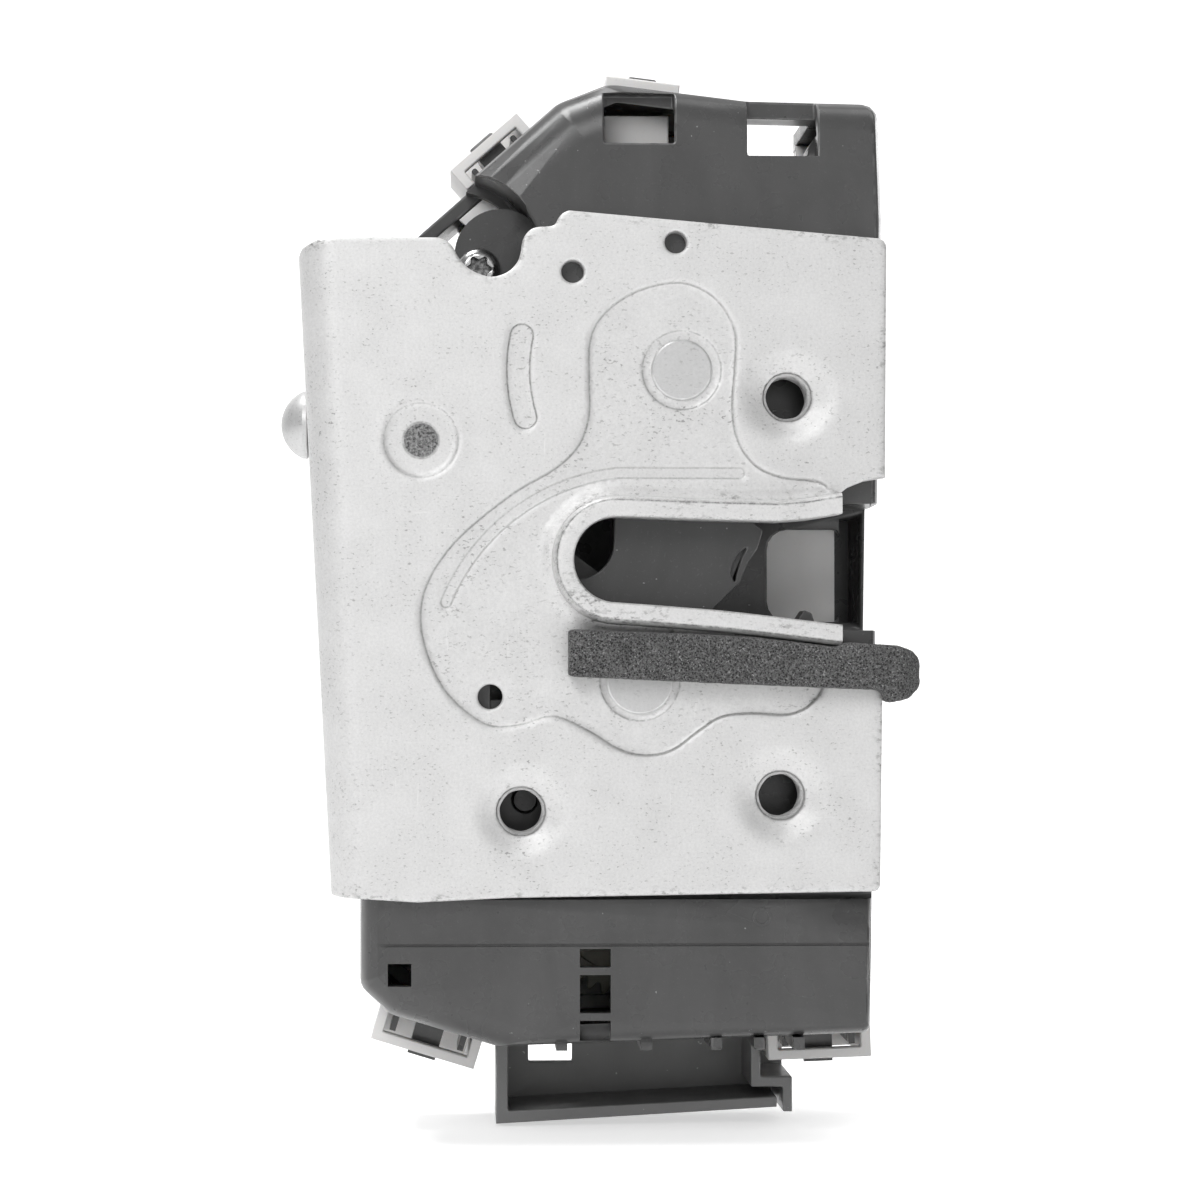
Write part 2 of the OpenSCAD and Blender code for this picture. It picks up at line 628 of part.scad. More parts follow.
module housing_void() {
    difference() {
        shell(wall, front_y + wall, cover_y + 1);
        slab(0, floor_y + wall) pocket_2d(wall);
        slab(0, channel_y + wall) channel_2d(wall);
        for (p = rear_screws) bar(p, boss_r, 0, cover_y);
        bar(wheel_at, boss_r, 0, wheel_y - gap);
        bar(lock_at, boss_r, 0, sector_y - gap);
        slab(0, notch_y + wall) notch_2d(wall);
        for (x = [-motor_r - gap - wall, motor_r + gap])
            block([motor_at[0] + x, 0, -90], [motor_at[0] + x + wall, cradle_y, motor_at[1] + 6]);
        block([bar_x, channel_y, channel_low - wall], [60, cover_y - 1, channel_top + wall]);
    }
}

module notch_2d(g = 0) {
    translate(notch_at) circle(notch_r + g, $fn = 64);
}

ring_at = [23.9, -57.9];
// Ribs under the housing
rib_x = [-8.6, 5.2, 16.6, 23.6, 30.1];
// Windows of the top block and of the channel's floor, as [x0, x1, z0, z1]
left_window = [-1.8, 9.8, 68.1, 76.6];
right_window = [21.6, 33.2, 66.1, 90];
floor_window = [26.7, bar_x, -9.7, 5.9];
// Openings of the ladder slot in the lower block, from z0 to z1
ladder_x = [-5.7, -0.7];
ladder_z = [[-78, -74.6], [-73.4, -67.2], [-66, -63]];

module window(v, y0, y1) {
    block([v[0], y0, v[2]], [v[1], y1, v[3]]);
}

// Hook on an outer wall that a loop of the rear cover snaps over; x runs along the wall, z out of it
loops = [[[5.2, 78.1], -6.9, 12.6, 3.6], [[-18.2, 67.6], 41.4, 14.8, 4.6], [[-29.6, -76.1], 163, 18, 6.2],
    [[35.2, -77.5], 181.9, 17.4, 5.6]];
loop_y = 23;
loop_t = 1.7;

module on_wall(v) {
    translate([v[0][0], 0, v[0][1]]) rotate([0, -v[1], 0]) children();
}

module hook(v) {
    on_wall(v) {
        translate([-2.4, 0, 0]) rotate([90, 0, 90]) linear_extrude(height = 4.8)
            polygon([[loop_y + 2.6, -wall / 2], [loop_y + 2.6, v[3] + 0.7], [loop_y + 4, v[3] + 0.9],
                [loop_y + 12, 0.2], [loop_y + 12, -wall / 2]]);
        for (x = [-v[2] / 2 + 2.6, v[2] / 2 - 3.6])
            block([x, loop_y + 1, -wall / 2], [x + 1, loop_y + 14, v[3] - 2.2]);
    }
}

module front_housing() color([0.13, 0.13, 0.14]) difference() {
    union() {
        difference() {
            shell(0, front_y, cover_y);
            housing_void();
        }
        for (v = loops) hook(v);
        for (x = rib_x) block([x - 0.9, front_y + 1.5, -79.6], [x + 0.9, loop_y + 0.4, -77.6]);
        difference() {
            bar(ring_at, 1.5, front_y - 0.2, front_y + 1);
            bar(ring_at, 1.1, front_y - 1, front_y + 2);
        }
    }
    slab(0, floor_y) pocket_2d();
    slab(0, channel_y) channel_2d();
    slab(0, channel_y + wall + 1) polygon(rounded([[floor_window[0], floor_window[2], 3.5],
        [floor_window[1], floor_window[2], 1], [floor_window[1], floor_window[3], 1],
        [floor_window[0], floor_window[3], 3.5]]));
    // Notch round the upper left screw, a window in its floor and the windows of the top block
    difference() {
        slab(0, notch_y) notch_2d();
        slab(0, notch_y + 1) pocket_2d(wall);
        bar(post_at, post_r, front_screw_y, cover_y);
    }
    difference() {
        slab(notch_y - 1, notch_y + wall + 1) notch_2d(-1.6);
        bar(post_at, post_r, 0, cover_y);
        slab(0, cover_y) translate([-60, 20]) square([80, 32]);
    }
    bar(front_screw_at, screw_r + 0.1, 5, 30);
    window(left_window, 0, front_y + wall + 3);
    window(right_window, 0, front_y + wall + 3);
    // Ladder slot and square hole of the lower block
    for (z = ladder_z) window(concat(ladder_x, z), 0, front_y + wall + 1);
    block([-36.8, 0, -69], [-33, front_y + wall + 6, -65.3]);
    block([-60, 2, -62.6], [60, front_y + 0.5, -62.1]);
    for (p = rear_screws) bar(p, screw_r, 12, cover_y + 1);
    for (p = [wheel_at, lock_at]) bar(p, gear_pin_r, 12, cover_y);
}

// Rear cover with its snap loops
module loop_frame(v) {
    on_wall(v) difference() {
        union() {
            block([-v[2] / 2, loop_y, gap], [v[2] / 2, cover_y + wall, v[3]]);
            block([-v[2] / 2 + 0.5, cover_y + 0.4, -wall / 2], [v[2] / 2 - 0.5, cover_y + wall - 0.4, 1]);
        }
        block([-v[2] / 2 + loop_t, loop_y + 2.4, -1], [v[2] / 2 - loop_t, cover_y - 1, v[3] + 1]);
        block([-v[2] / 2 + loop_t, loop_y - 1, -1], [v[2] / 2 - loop_t, loop_y + 3, v[3] - loop_t]);
    }
}

inside_at = [14, 40];
inside_pin_r = 2.5;
cable_v = [-24, 8];
inside_y = cover_y + wall + 2.4;
socket_x = [-14, 24];
socket_z = [-78, -52];
socket_y = [cover_y + wall, cover_y + wall + 15];

// Stiffening ribs on the back of the cover
rib_t = 1.6;

module rib_grid_2d() {
    for (z = [-36, -18, 0, 18]) translate([-34, z]) square([68, rib_t]);
    for (x = [-34, 34 - rib_t]) translate([x, -36]) square([rib_t, 54 + rib_t]);
}

// Shelf of the cover behind the notch, and the tab behind the top block's left window
shelf_y = notch_y + wall + gap;
tab_y = 14;

module rear_cover() color([0.87, 0.87, 0.85]) difference() {
    union() {
        slab(cover_y, cover_y + wall) polygon(rounded(house));
        difference() {
            slab(cover_y - 2, cover_y + eps) polygon(rounded(inset(house, wall + gap)));
            slab(cover_y - 3, cover_y + 1) polygon(rounded(inset(house, 2 * wall + gap)));
            for (p = rear_screws) bar(p, boss_r + gap, cover_y - 3, cover_y - eps);
            block([bar_x - gap, cover_y - 3, channel_low - wall - gap],
                [60, cover_y - eps, channel_top + wall + gap]);
        }
        for (v = loops) loop_frame(v);
        bar(front_screw_at, 5, shelf_y, cover_y);
        slab(shelf_y, shelf_y + 1.8) difference() {
            intersection() {
                notch_2d(-0.4);
                polygon(rounded(inset(house, wall + gap)));
            }
            polygon([[-50, 80], [-29, 61], [-24.2, 56.9], [-24.2, 30], [-50, 30]]);
            translate([-50, 20]) square([60, 31.4]);
        }
        // Box behind the window in the channel's floor
        difference() {
            window(floor_window + [-1.1, -0.5, -0.9, 0.9], channel_y + wall + gap, cover_y + eps);
            window(floor_window + [0.5, -2.1, 0.7, -0.7], channel_y + wall + gap + 1.6, cover_y);
        }
        // Tab behind the left window of the top block
        difference() {
            window(left_window + [0.4, -0.4, -0.9, -2.4], tab_y, cover_y + eps);
            window(left_window + [2, -2, -2, -1.6], tab_y + 1.6, cover_y);
        }
        bar(inside_at, 5, cover_y, inside_y - gap);
        slab(cover_y + wall - eps, cover_y + wall + 1.6) rib_grid_2d();
    }
    window([right_window[0], right_window[1], right_window[2], 72.6], cover_y - 4, cover_y + wall + 1);
    slab(cover_y - 4, cover_y + wall + 1)
        polygon([[-30, 56], [-28, 60], [-24.2, 57.2], [-25, 48], [-31, 48]]);
    for (p = rear_screws) bar(p, screw_r, cover_y - 4, cover_y + wall + 4);
    bar(front_screw_at, screw_r + 0.1, 10, 34);
    for (p = [wheel_at, lock_at]) bar(p, gear_pin_r, cover_y - 4, cover_y + 1.4);
    bar(inside_at, inside_pin_r, cover_y - 1, inside_y + 2);
}

// Guide bracket under the housing, open to the front and the right
bracket_y = 26;
bracket_back = cover_y + wall + gap;
bracket_t = 2;
bracket_x = [-19, 31];
bracket_z = -92;

module guide_bracket() color([0.13, 0.13, 0.14]) {
    left = bracket_x[0];
    right = bracket_x[1];
    low = bracket_z;
    difference() {
        slab(bracket_back, bracket_back + bracket_t)
            polygon([[left, -80], [left, low - 2.2], [28.4, low + 0.3], [right, low], [right, -79]]);
        block([-13.2, bracket_y, -85.8], [-5.6, bracket_back + bracket_t + 1, -81.6]);
    }
    slab(bracket_y, bracket_back + eps) {
        polygon([[left, low - 2.2], [28.4, low + 0.4], [28.4, low + 2.2], [left + bracket_t, low],
            [left + bracket_t, -80], [left, -80]]);
        polygon([[24, -79], [24, -88.2], [29.4, -88.2], [29.4, low - 0.4], [right, low - 0.4],
            [right, -86.4], [25.6, -86.4], [25.6, -79]]);
    }
    slab(bracket_y + 8, bracket_back + eps)
        polygon([[left, -79.55], [25.6, -78.05], [25.6, -80], [left, -81.4]]);
}

// Connector socket on the rear cover, facing down, with its terminals
module connector_socket() color([0.16, 0.16, 0.17]) difference() {
    block([socket_x[0], socket_y[0], socket_z[0]], [socket_x[1], socket_y[1], socket_z[1]]);
    block([socket_x[0] + 2, socket_y[0] + 2, socket_z[0] - 1],
        [socket_x[1] - 2, socket_y[1] - 2, socket_z[1] - 8]);
    block([2, socket_y[1] - 3, socket_z[0] - 1], [8, socket_y[1] - 1, socket_z[1] - 14]);
    terminal_bars(9);
}

terminal_x = [for (i = [0:4]) socket_x[0] + 7 + 6 * i];
terminal_y = [socket_y[0] + 5, socket_y[1] - 5];

module terminal_bars(l) {
    for (x = terminal_x) for (y = terminal_y)
        block([x - 0.5, y - 0.5, socket_z[1] - l], [x + 0.5, y + 0.5, socket_z[1] - 1]);
}

module terminals() color("goldenrod") terminal_bars(20);

// Rubber stop for the striker at the slot's round end
module bump_stop() color([0.08, 0.08, 0.08]) intersection() {
    slab(floor_y + 0.6, channel_y - gap) translate([channel_x + gap, -5]) square([4.6, 10]);
    bar([channel_x + gap - 1.4, 0], 6, floor_y, channel_y);
}

module cover_screw(p, y, l) {
    translate([p[0], y, p[1]]) rotate([-90, 0, 0]) difference() {
        union() {
            cylinder(r = 3.5, h = 2.4);
            translate([0, 0, -l]) cylinder(r = screw_r, h = l + eps);
        }
        translate([0, 0, 1]) cylinder(r = 1.5, h = 3);
    }
}

module cover_screws() color("silver") {
    for (p = rear_screws) cover_screw(p, cover_y + wall, 16);
    translate([0, 2 * front_screw_y, 0]) mirror([0, 1, 0]) cover_screw(front_screw_at, front_screw_y, 18);
}

// Gears

function involute(a) = tan(a) * 180 / PI - a;
pressure = 25;
backlash = 0.14;

// One tooth's outline: half angle of the tooth at each radius, from the root out and back
function tooth_half(r, rp, n, slack) =
    let (rb = rp * cos(pressure), q = max(r, rb))
    90 / n + involute(pressure) - involute(acos(rb / q)) - slack / rp * 180 / PI / 2;
function gear_points(n, m, teeth, phase) =
    let (rp = n * m / 2, radii = [rp - 1.2 * m, rp - 0.5 * m, rp, rp + 0.45 * m, rp + 0.85 * m])
    [for (k = [0:teeth - 1]) let (a = phase + k * 360 / n) each concat(
        [for (r = radii) polar([0, 0], r, a - tooth_half(r, rp, n, backlash))],
        [for (i = [4:-1:0]) polar([0, 0], radii[i], a + tooth_half(radii[i], rp, n, backlash))])];

module motor() color("lightgray") {
    intersection() {
        bar(motor_at, motor_r, motor_y, motor_y + motor_l);
        block([motor_at[0] - motor_r, 0, motor_at[1] - motor_flat],
            [motor_at[0] + motor_r, cover_y, motor_at[1] + motor_flat]);
    }
    bar(motor_at, 3, motor_y + motor_l - eps, motor_y + motor_l + 2);
}

module motor_pinion() color("goldenrod") {
    slab(wheel_y - 0.6, wheel_y + wheel_w + 0.2) translate(motor_at)
        polygon(gear_points(pinion_teeth, wheel_module, pinion_teeth, drive_angle));
    bar(motor_at, 1.2, motor_y + motor_l + 2 + gap / 3, wheel_y);
}

module drive_wheel() color("ivory") difference() {
    union() {
        slab(wheel_y, wheel_y + wheel_w) translate(wheel_at)
            polygon(gear_points(wheel_teeth, wheel_module, wheel_teeth,
                drive_angle + 180 + 180 / wheel_teeth));
        slab(wheel_y + wheel_w - eps, sector_y + sector_t + 0.4) translate(wheel_at)
            polygon(gear_points(pinion_teeth, sector_module, pinion_teeth, sector_angle));
    }
    difference() {
        bar(wheel_at, wheel_teeth * wheel_module / 2 - 3.4, wheel_y - 1, wheel_y + 1.2);
        bar(wheel_at, 5, wheel_y - 2, wheel_y + 2);
    }
    bar(wheel_at, gear_pin_r + run_fit, wheel_y - 1, cover_y);
}

module gear_pins() color("silver") for (p = [wheel_at, lock_at]) bar(p, gear_pin_r, 13, cover_y + 1.2);

sector_pitch = 360 / sector_teeth;
lock_start = sector_angle + 180 - ceil((lock_turn + 14) / sector_pitch) * sector_pitch;
sector_count = ceil((lock_turn + 30) / sector_pitch);

module lock_lever() color("ivory") difference() {
    slab(sector_y, sector_y + sector_t) translate(lock_at) {
        circle(6);
        polygon(concat([[0, 0]], gear_points(sector_teeth, sector_module, sector_count,
            lock_start + sector_pitch / 2)));
        link_2d([0, 0], polar([0, 0], 21, 100), 5, 3);
    }
    bar(lock_at, gear_pin_r + run_fit, sector_y - 1, cover_y);
}

// Inside lever on the back of the cover, pulled by a cable
module inside_lever() color("lightgray") difference() {
    slab(inside_y, inside_y + lever_t) translate(inside_at) {
        link_2d([0, 0], cable_v, 7, 4.5);
        link_2d([0, 0], [10, 14], 7, 4);
    }
    bar(inside_at, inside_pin_r + run_fit, inside_y - 1, inside_y + lever_t + 1);
    bar(inside_at + cable_v, rod_r, inside_y - 1, inside_y + lever_t + 1);
}

module inside_pin() color("silver") {
    bar(inside_at, inside_pin_r, cover_y + gap, inside_y + lever_t + gap);
    cone(inside_at, inside_pin_r + 1.9, inside_pin_r + 1.1, inside_y + lever_t + gap,
        inside_y + lever_t + gap + 1.2);
}

// Switch that reads the catch, with a sprung plunger
switch_at = catch_at - [heel_r + 3.2, 4.5];
switch_size = [7, 8];

module ajar_switch() color([0.2, 0.2, 0.22]) difference() {
    block([switch_at[0] - switch_size[0], skin_y + 0.8, switch_at[1] - switch_size[1] / 2],
        [switch_at[0], floor_y - gap, switch_at[1] + switch_size[1] / 2]);
    block([switch_at[0] - 4, core_y, switch_at[1] - 1.5],
        [switch_at[0] + 1, core_y + 4, switch_at[1] + 1.5]);
}

module switch_plunger() color("white")
    block([switch_at[0] - 2, core_y + 0.1, switch_at[1] - 1.4],
        [switch_at[0] + 3.4, core_y + 3.9, switch_at[1] + 1.4]);

latch_plate();
foam_seal();
catch_rivet();
pawl_rivet();
lever_rivet();
flange_rivet();
back_plate();
front_housing();
rear_cover();
guide_bracket();
connector_socket();
terminals();
bump_stop();
cover_screws();
motor();
motor_pinion();
drive_wheel();
gear_pins();
lock_lever();
catch_core();
catch_sleeve();
catch_spring();
pawl_core();
pawl_sleeve();
pawl_spring();
release_lever();
outside_lever();
outside_spring();
rod_clip();
inside_lever();
inside_pin();
ajar_switch();
switch_plunger();
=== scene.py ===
"""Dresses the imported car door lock: zinc plate, foam strip, moulded housing, levers and lock drive."""

import logging
import math
import random
from dataclasses import dataclass, field
from enum import Enum

import bmesh
import bpy
from mathutils import Matrix, Vector
from mathutils.geometry import delaunay_2d_cdt, intersect_line_line_2d, intersect_point_line
from mathutils.kdtree import KDTree


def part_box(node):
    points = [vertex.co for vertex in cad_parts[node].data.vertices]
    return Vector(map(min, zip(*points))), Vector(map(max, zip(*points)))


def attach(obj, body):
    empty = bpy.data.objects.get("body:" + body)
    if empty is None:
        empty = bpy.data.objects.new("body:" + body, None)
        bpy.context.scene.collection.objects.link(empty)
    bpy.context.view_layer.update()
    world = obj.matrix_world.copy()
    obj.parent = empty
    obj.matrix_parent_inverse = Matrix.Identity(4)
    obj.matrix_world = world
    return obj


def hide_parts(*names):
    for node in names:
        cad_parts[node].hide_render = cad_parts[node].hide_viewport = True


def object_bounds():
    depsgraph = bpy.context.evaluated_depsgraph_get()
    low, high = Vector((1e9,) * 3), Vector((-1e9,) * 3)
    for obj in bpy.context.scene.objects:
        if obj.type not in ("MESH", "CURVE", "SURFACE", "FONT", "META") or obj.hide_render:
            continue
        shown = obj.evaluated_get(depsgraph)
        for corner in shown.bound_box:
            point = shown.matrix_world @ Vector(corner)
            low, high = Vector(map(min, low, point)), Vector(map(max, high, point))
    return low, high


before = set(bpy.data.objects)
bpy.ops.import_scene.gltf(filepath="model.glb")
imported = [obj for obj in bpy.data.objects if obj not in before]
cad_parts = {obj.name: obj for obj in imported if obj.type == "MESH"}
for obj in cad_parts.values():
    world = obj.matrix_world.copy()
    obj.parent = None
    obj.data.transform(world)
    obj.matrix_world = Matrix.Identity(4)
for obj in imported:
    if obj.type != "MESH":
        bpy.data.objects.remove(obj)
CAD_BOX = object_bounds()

LOG = logging.getLogger("door_latch")
# One millimetre in metres
MM = 0.001
# Corners of a CAD mesh that lie closer than this, in metres, are one
WELD = 2e-6
# Faces of a CAD mesh that lie within this angle, in degrees, are one flat face
FLAT = 0.8

Point = tuple[float, float]
Place = tuple[float, float, float]
Colour = tuple[float, float, float]
Box = tuple[Place, Place]
Mesh = bmesh.types.BMesh
Socket = bpy.types.NodeSocket


# Outlines

def polar(centre: Point, radius: float, degrees: float) -> Point:
    """The point at a radius and angle from a centre, in X and Z."""
    turn = math.radians(degrees)
    return (centre[0] + radius * math.cos(turn), centre[1] + radius * math.sin(turn))


def arc(centre: Point, radius: float, start: float, end: float, steps: int) -> list[Point]:
    """Points along an arc, both ends included."""
    return [polar(centre, radius, start + (end - start) * i / steps) for i in range(steps + 1)]


def smooth_loop(points: list[Point], steps: int) -> list[Point]:
    """A closed curve through control points.

    Args:
        points: The control points in order.
        steps: How many points to make between two of them.

    Returns:
        The points of the curve.
    """
    loop: list[Point] = []
    count = len(points)
    for i in range(count):
        a, b, c, d = (points[(i + k) % count] for k in (-1, 0, 1, 2))
        for k in range(steps):
            t = k / steps
            loop.append(tuple(0.5 * (2 * b[n] + (c[n] - a[n]) * t
                                     + (2 * a[n] - 5 * b[n] + 4 * c[n] - d[n]) * t * t
                                     + (3 * b[n] - 3 * c[n] + d[n] - a[n]) * t ** 3) for n in (0, 1)))
    return loop


def rounded_corner(before: Point, corner: Point, after: Point, radius: float, steps: int) -> list[Point]:
    """Points that round one corner of an outline.

    Args:
        before: The outline's point before the corner.
        corner: The corner itself.
        after: The outline's point after it.
        radius: Radius of the rounding.
        steps: How many pieces the arc has.

    Returns:
        The points that take the corner's place.
    """
    here = Vector(corner)
    u = (Vector(before) - here).normalized()
    v = (Vector(after) - here).normalized()
    half = u.angle(v) / 2
    middle = here + (u + v).normalized() * radius / math.sin(half)
    first = here + u * radius / math.tan(half) - middle
    last = here + v * radius / math.tan(half) - middle
    start = math.degrees(math.atan2(first.y, first.x))
    sweep = (math.degrees(math.atan2(last.y, last.x)) - start + 540) % 360 - 180
    return arc(tuple(middle), radius, start, start + sweep, steps)


def eased(points: list[Point], passes: int = 2) -> list[Point]:
    """An open line with its corners cut off finely, its ends kept."""
    for _ in range(passes):
        cut = [points[0]]
        for a, b in zip(points, points[1:]):
            cut += [(0.75 * a[0] + 0.25 * b[0], 0.75 * a[1] + 0.25 * b[1]),
                    (0.25 * a[0] + 0.75 * b[0], 0.25 * a[1] + 0.75 * b[1])]
        points = cut + [points[-1]]
    return points


def resample(loop: list[Point], spacing: float, closed: bool = True) -> list[Point]:
    """The same outline with its points at most a spacing apart, its corners kept."""
    result: list[Point] = []
    for i, a in enumerate(loop if closed else loop[:-1]):
        b = loop[(i + 1) % len(loop)]
        pieces = max(1, round(math.dist(a, b) / spacing))
        result.extend((a[0] + (b[0] - a[0]) * k / pieces, a[1] + (b[1] - a[1]) * k / pieces)
                      for k in range(pieces))
    if not closed:
        result.append(loop[-1])
    return result


def offset(loop: list[Point], distance: float, closed: bool = True) -> list[Point]:
    """An outline moved sideways, to the left of its direction for a positive distance."""
    count = len(loop)
    result: list[Point] = []
    for i, p in enumerate(loop):
        before = loop[i - 1] if closed or i else p
        after = loop[(i + 1) % count] if closed or i < count - 1 else p
        run = (Vector(after) - Vector(before)).normalized()
        result.append((p[0] - run.y * distance, p[1] + run.x * distance))
    return result


class Distance:
    """Distance from a point to an outline, positive inside it."""

    def __init__(self, loop: list[Point], closed: bool = True, cell: float = 3.0) -> None:
        """Keeps the outline's edges, sorted into cells for quick search.

        Args:
            loop: The outline's points.
            closed: Whether its last point joins its first.
            cell: Width of the cells, and the longest distance that is told apart.
        """
        self.loop = loop
        self.cell = cell
        self.low = tuple(min(p[k] for p in loop) for k in (0, 1))
        self.high = tuple(max(p[k] for p in loop) for k in (0, 1))
        self.edges = [(a, loop[(i + 1) % len(loop)]) for i, a in enumerate(loop if closed else loop[:-1])]
        self.cells: dict[tuple[int, int], list[int]] = {}
        for i, (a, b) in enumerate(self.edges):
            for key in {self._key(a), self._key(b)}:
                self.cells.setdefault(key, []).append(i)

    def _key(self, p: Point) -> tuple[int, int]:
        """The cell that holds a point."""
        return (math.floor(p[0] / self.cell), math.floor(p[1] / self.cell))

    def near(self, p: Point) -> float:
        """The distance to the outline, or one cell's width when it is further away than that."""
        key = self._key(p)
        best = self.cell
        for i in (-1, 0, 1):
            for j in (-1, 0, 1):
                for e in self.cells.get((key[0] + i, key[1] + j), ()):
                    (ax, ay), (bx, by) = self.edges[e]
                    dx, dy = bx - ax, by - ay
                    length = dx * dx + dy * dy or 1e-12
                    t = max(0.0, min(1.0, ((p[0] - ax) * dx + (p[1] - ay) * dy) / length))
                    best = min(best, math.hypot(p[0] - ax - t * dx, p[1] - ay - t * dy))
        return best

    def inside(self, p: Point) -> bool:
        """Whether a closed outline holds the point."""
        if any(not self.low[k] <= p[k] <= self.high[k] for k in (0, 1)):
            return False
        hit = False
        for (ax, ay), (bx, by) in self.edges:
            if (ay > p[1]) != (by > p[1]) and p[0] < (bx - ax) * (p[1] - ay) / (by - ay) + ax:
                hit = not hit
        return hit

    def signed(self, p: Point) -> float:
        """The distance, positive inside."""
        d = self.near(p)
        return d if self.inside(p) else -d


def step(value: float, low: float, high: float) -> float:
    """A smooth rise from 0 at low to 1 at high."""
    t = max(0.0, min(1.0, (value - low) / (high - low)))
    return t * t * (3 - 2 * t)


def band(path: list[Point], half: float) -> list[Point]:
    """The closed outline of a round-ended band along an open path."""
    def end(tip: Point, before: Point) -> list[Point]:
        """The half circle round one end of the path."""
        heading = math.degrees(math.atan2(tip[1] - before[1], tip[0] - before[0]))
        return arc(tip, half, heading + 90, heading - 90, 10)[1:-1]

    left = offset(path, half, closed=False)
    right = offset(path, -half, closed=False)
    return left + end(path[-1], path[-2]) + right[::-1] + end(path[0], path[1])


@dataclass
class Pressing:
    """An area struck into the plate, with a thin line of painted shade along the foot of its edge.

    Attributes:
        loop: The area's outline.
        depth: How deep it is struck, in millimetres.
        slope: Width of its sloping edge.
        painted_shade: How dark the line of painted shade along its edge is, from 0 to 1.
    """

    loop: list[Point]
    depth: float
    slope: float
    painted_shade: float
    edge: Distance = field(init=False)

    def __post_init__(self) -> None:
        """Prepares the search for the nearest edge."""
        self.edge = Distance(self.loop, cell=1.5)

    def shape(self, p: Point) -> tuple[float, float]:
        """The depth and the painted shade that it gives a point."""
        d = self.edge.signed(p)
        return (self.depth * step(d, -self.slope / 2, self.slope / 2),
                self.painted_shade * (1 - step(abs(d - 0.1), 0.0, 0.2)))

    def points(self) -> list[Point]:
        """Points along its edge, close enough together to show the slope and the line."""
        return [q for d in (-self.slope / 2, -0.1, 0.1, 0.3) for q in offset(self.loop, d)]


# Finishes

class Graph:
    """A material's node tree with short calls for the nodes that the finishes share."""

    def __init__(self, name: str) -> None:
        """Starts the material with its surface shader.

        Args:
            name: The material's name.
        """
        self.material = bpy.data.materials.new(name)
        self.material.use_nodes = True
        self.nodes = self.material.node_tree.nodes
        self.links = self.material.node_tree.links
        self.shader = self.nodes["Principled BSDF"]
        self.place = self.nodes.new("ShaderNodeTexCoord").outputs["Object"]

    def put(self, socket: Socket, value: Socket | float | tuple[float, ...]) -> None:
        """Links a socket to another one, or sets it to a constant."""
        if isinstance(value, Socket):
            self.links.new(value, socket)
        else:
            socket.default_value = value

    def add(self, kind: str, **inputs: Socket | float | tuple[float, ...]) -> bpy.types.Node:
        """A new shader node with its inputs, named with underscores for spaces."""
        node = self.nodes.new("ShaderNode" + kind)
        for key, value in inputs.items():
            self.put(node.inputs[key.replace("_", " ")], value)
        return node

    def feed(self, **inputs: Socket | float | tuple[float, ...]) -> None:
        """Links or sets the shader's own sockets, named with underscores for spaces."""
        for key, value in inputs.items():
            self.put(self.shader.inputs[key.replace("_", " ")], value)

    def stretch(self, scale: Place, turn: float = 0.0) -> Socket:
        """The place stretched along its axes, after a turn about Y in degrees."""
        turned = (0.0, math.radians(turn), 0.0)
        return self.add("Mapping", Vector=self.place, Scale=scale, Rotation=turned).outputs["Vector"]

    def noise(self, size: float, detail: float = 2.0, rough: float = 0.5,
              place: Socket | None = None, warp: float = 0.0) -> Socket:
        """Noise whose blobs are about a size, in millimetres.

        Args:
            size: Size of the blobs in millimetres.
            detail: Octaves of finer detail.
            rough: Weight of the finer octaves.
            place: The coordinate to use in place of the object's own.
            warp: Distortion of the pattern.

        Returns:
            The factor output.
        """
        node = self.add("TexNoise", Vector=place or self.place, Scale=1 / (size * MM), Detail=detail,
                        Roughness=rough, Distortion=warp)
        return node.outputs["Fac"]

    def cells(self, size: float) -> Socket:
        """Distance to the nearest cell centre, for pits and open cells of a size in millimetres."""
        return self.add("TexVoronoi", Vector=self.place, Scale=1 / (size * MM)).outputs["Distance"]

    def attribute(self, name: str) -> Socket:
        """A value kept on the mesh, 0 on a mesh without it."""
        node = self.add("Attribute")
        node.attribute_name = name
        return node.outputs["Fac"]

    def ramp(self, source: Socket, low: Point, high: Point) -> Socket:
        """A factor bent between two stops of position and value."""
        node = self.add("ValToRGB", Fac=source)
        for element, (position, value) in zip(node.color_ramp.elements, (low, high)):
            element.position = position
            element.color = (value, value, value, 1.0)
        return node.outputs["Color"]

    def math(self, kind: str, a: Socket, b: Socket | float) -> Socket:
        """One sum of two factors."""
        node = self.add("Math")
        node.operation = kind
        self.put(node.inputs[0], a)
        self.put(node.inputs[1], b)
        return node.outputs[0]

    def mix(self, factor: Socket, low: Colour | Socket, high: Colour | Socket) -> Socket:
        """A colour between two, each a colour or a socket."""
        node = self.add("Mix")
        node.data_type = "RGBA"
        self.put(node.inputs["Factor"], factor)
        for slot, value in ((6, low), (7, high)):
            self.put(node.inputs[slot], (*value, 1.0) if isinstance(value, tuple) else value)
        return node.outputs[2]

    def bump(self, height: Socket, depth: float, strength: float = 1.0,
             under: Socket | None = None) -> Socket:
        """A bump of a depth in millimetres, over another one if given."""
        node = self.add("Bump", Height=height, Distance=depth * MM, Strength=strength)
        if under:
            self.put(node.inputs["Normal"], under)
        return node.outputs["Normal"]


def grey(level: float, warm: float = 0.0) -> Colour:
    """A grey, a little warmer or cooler."""
    return (level * (1 + warm), level, level * (1 - warm))


def between(first: Colour, second: Colour, share: float) -> Colour:
    """The colour that lies a share of the way from one to another."""
    return tuple((1 - share) * a + share * b for a, b in zip(first, second))


def brighter(colour: Colour, factor: float, most: float = 1.0) -> Colour:
    """A colour times a factor, each part up to a value."""
    return tuple(min(most, c * factor) for c in colour)


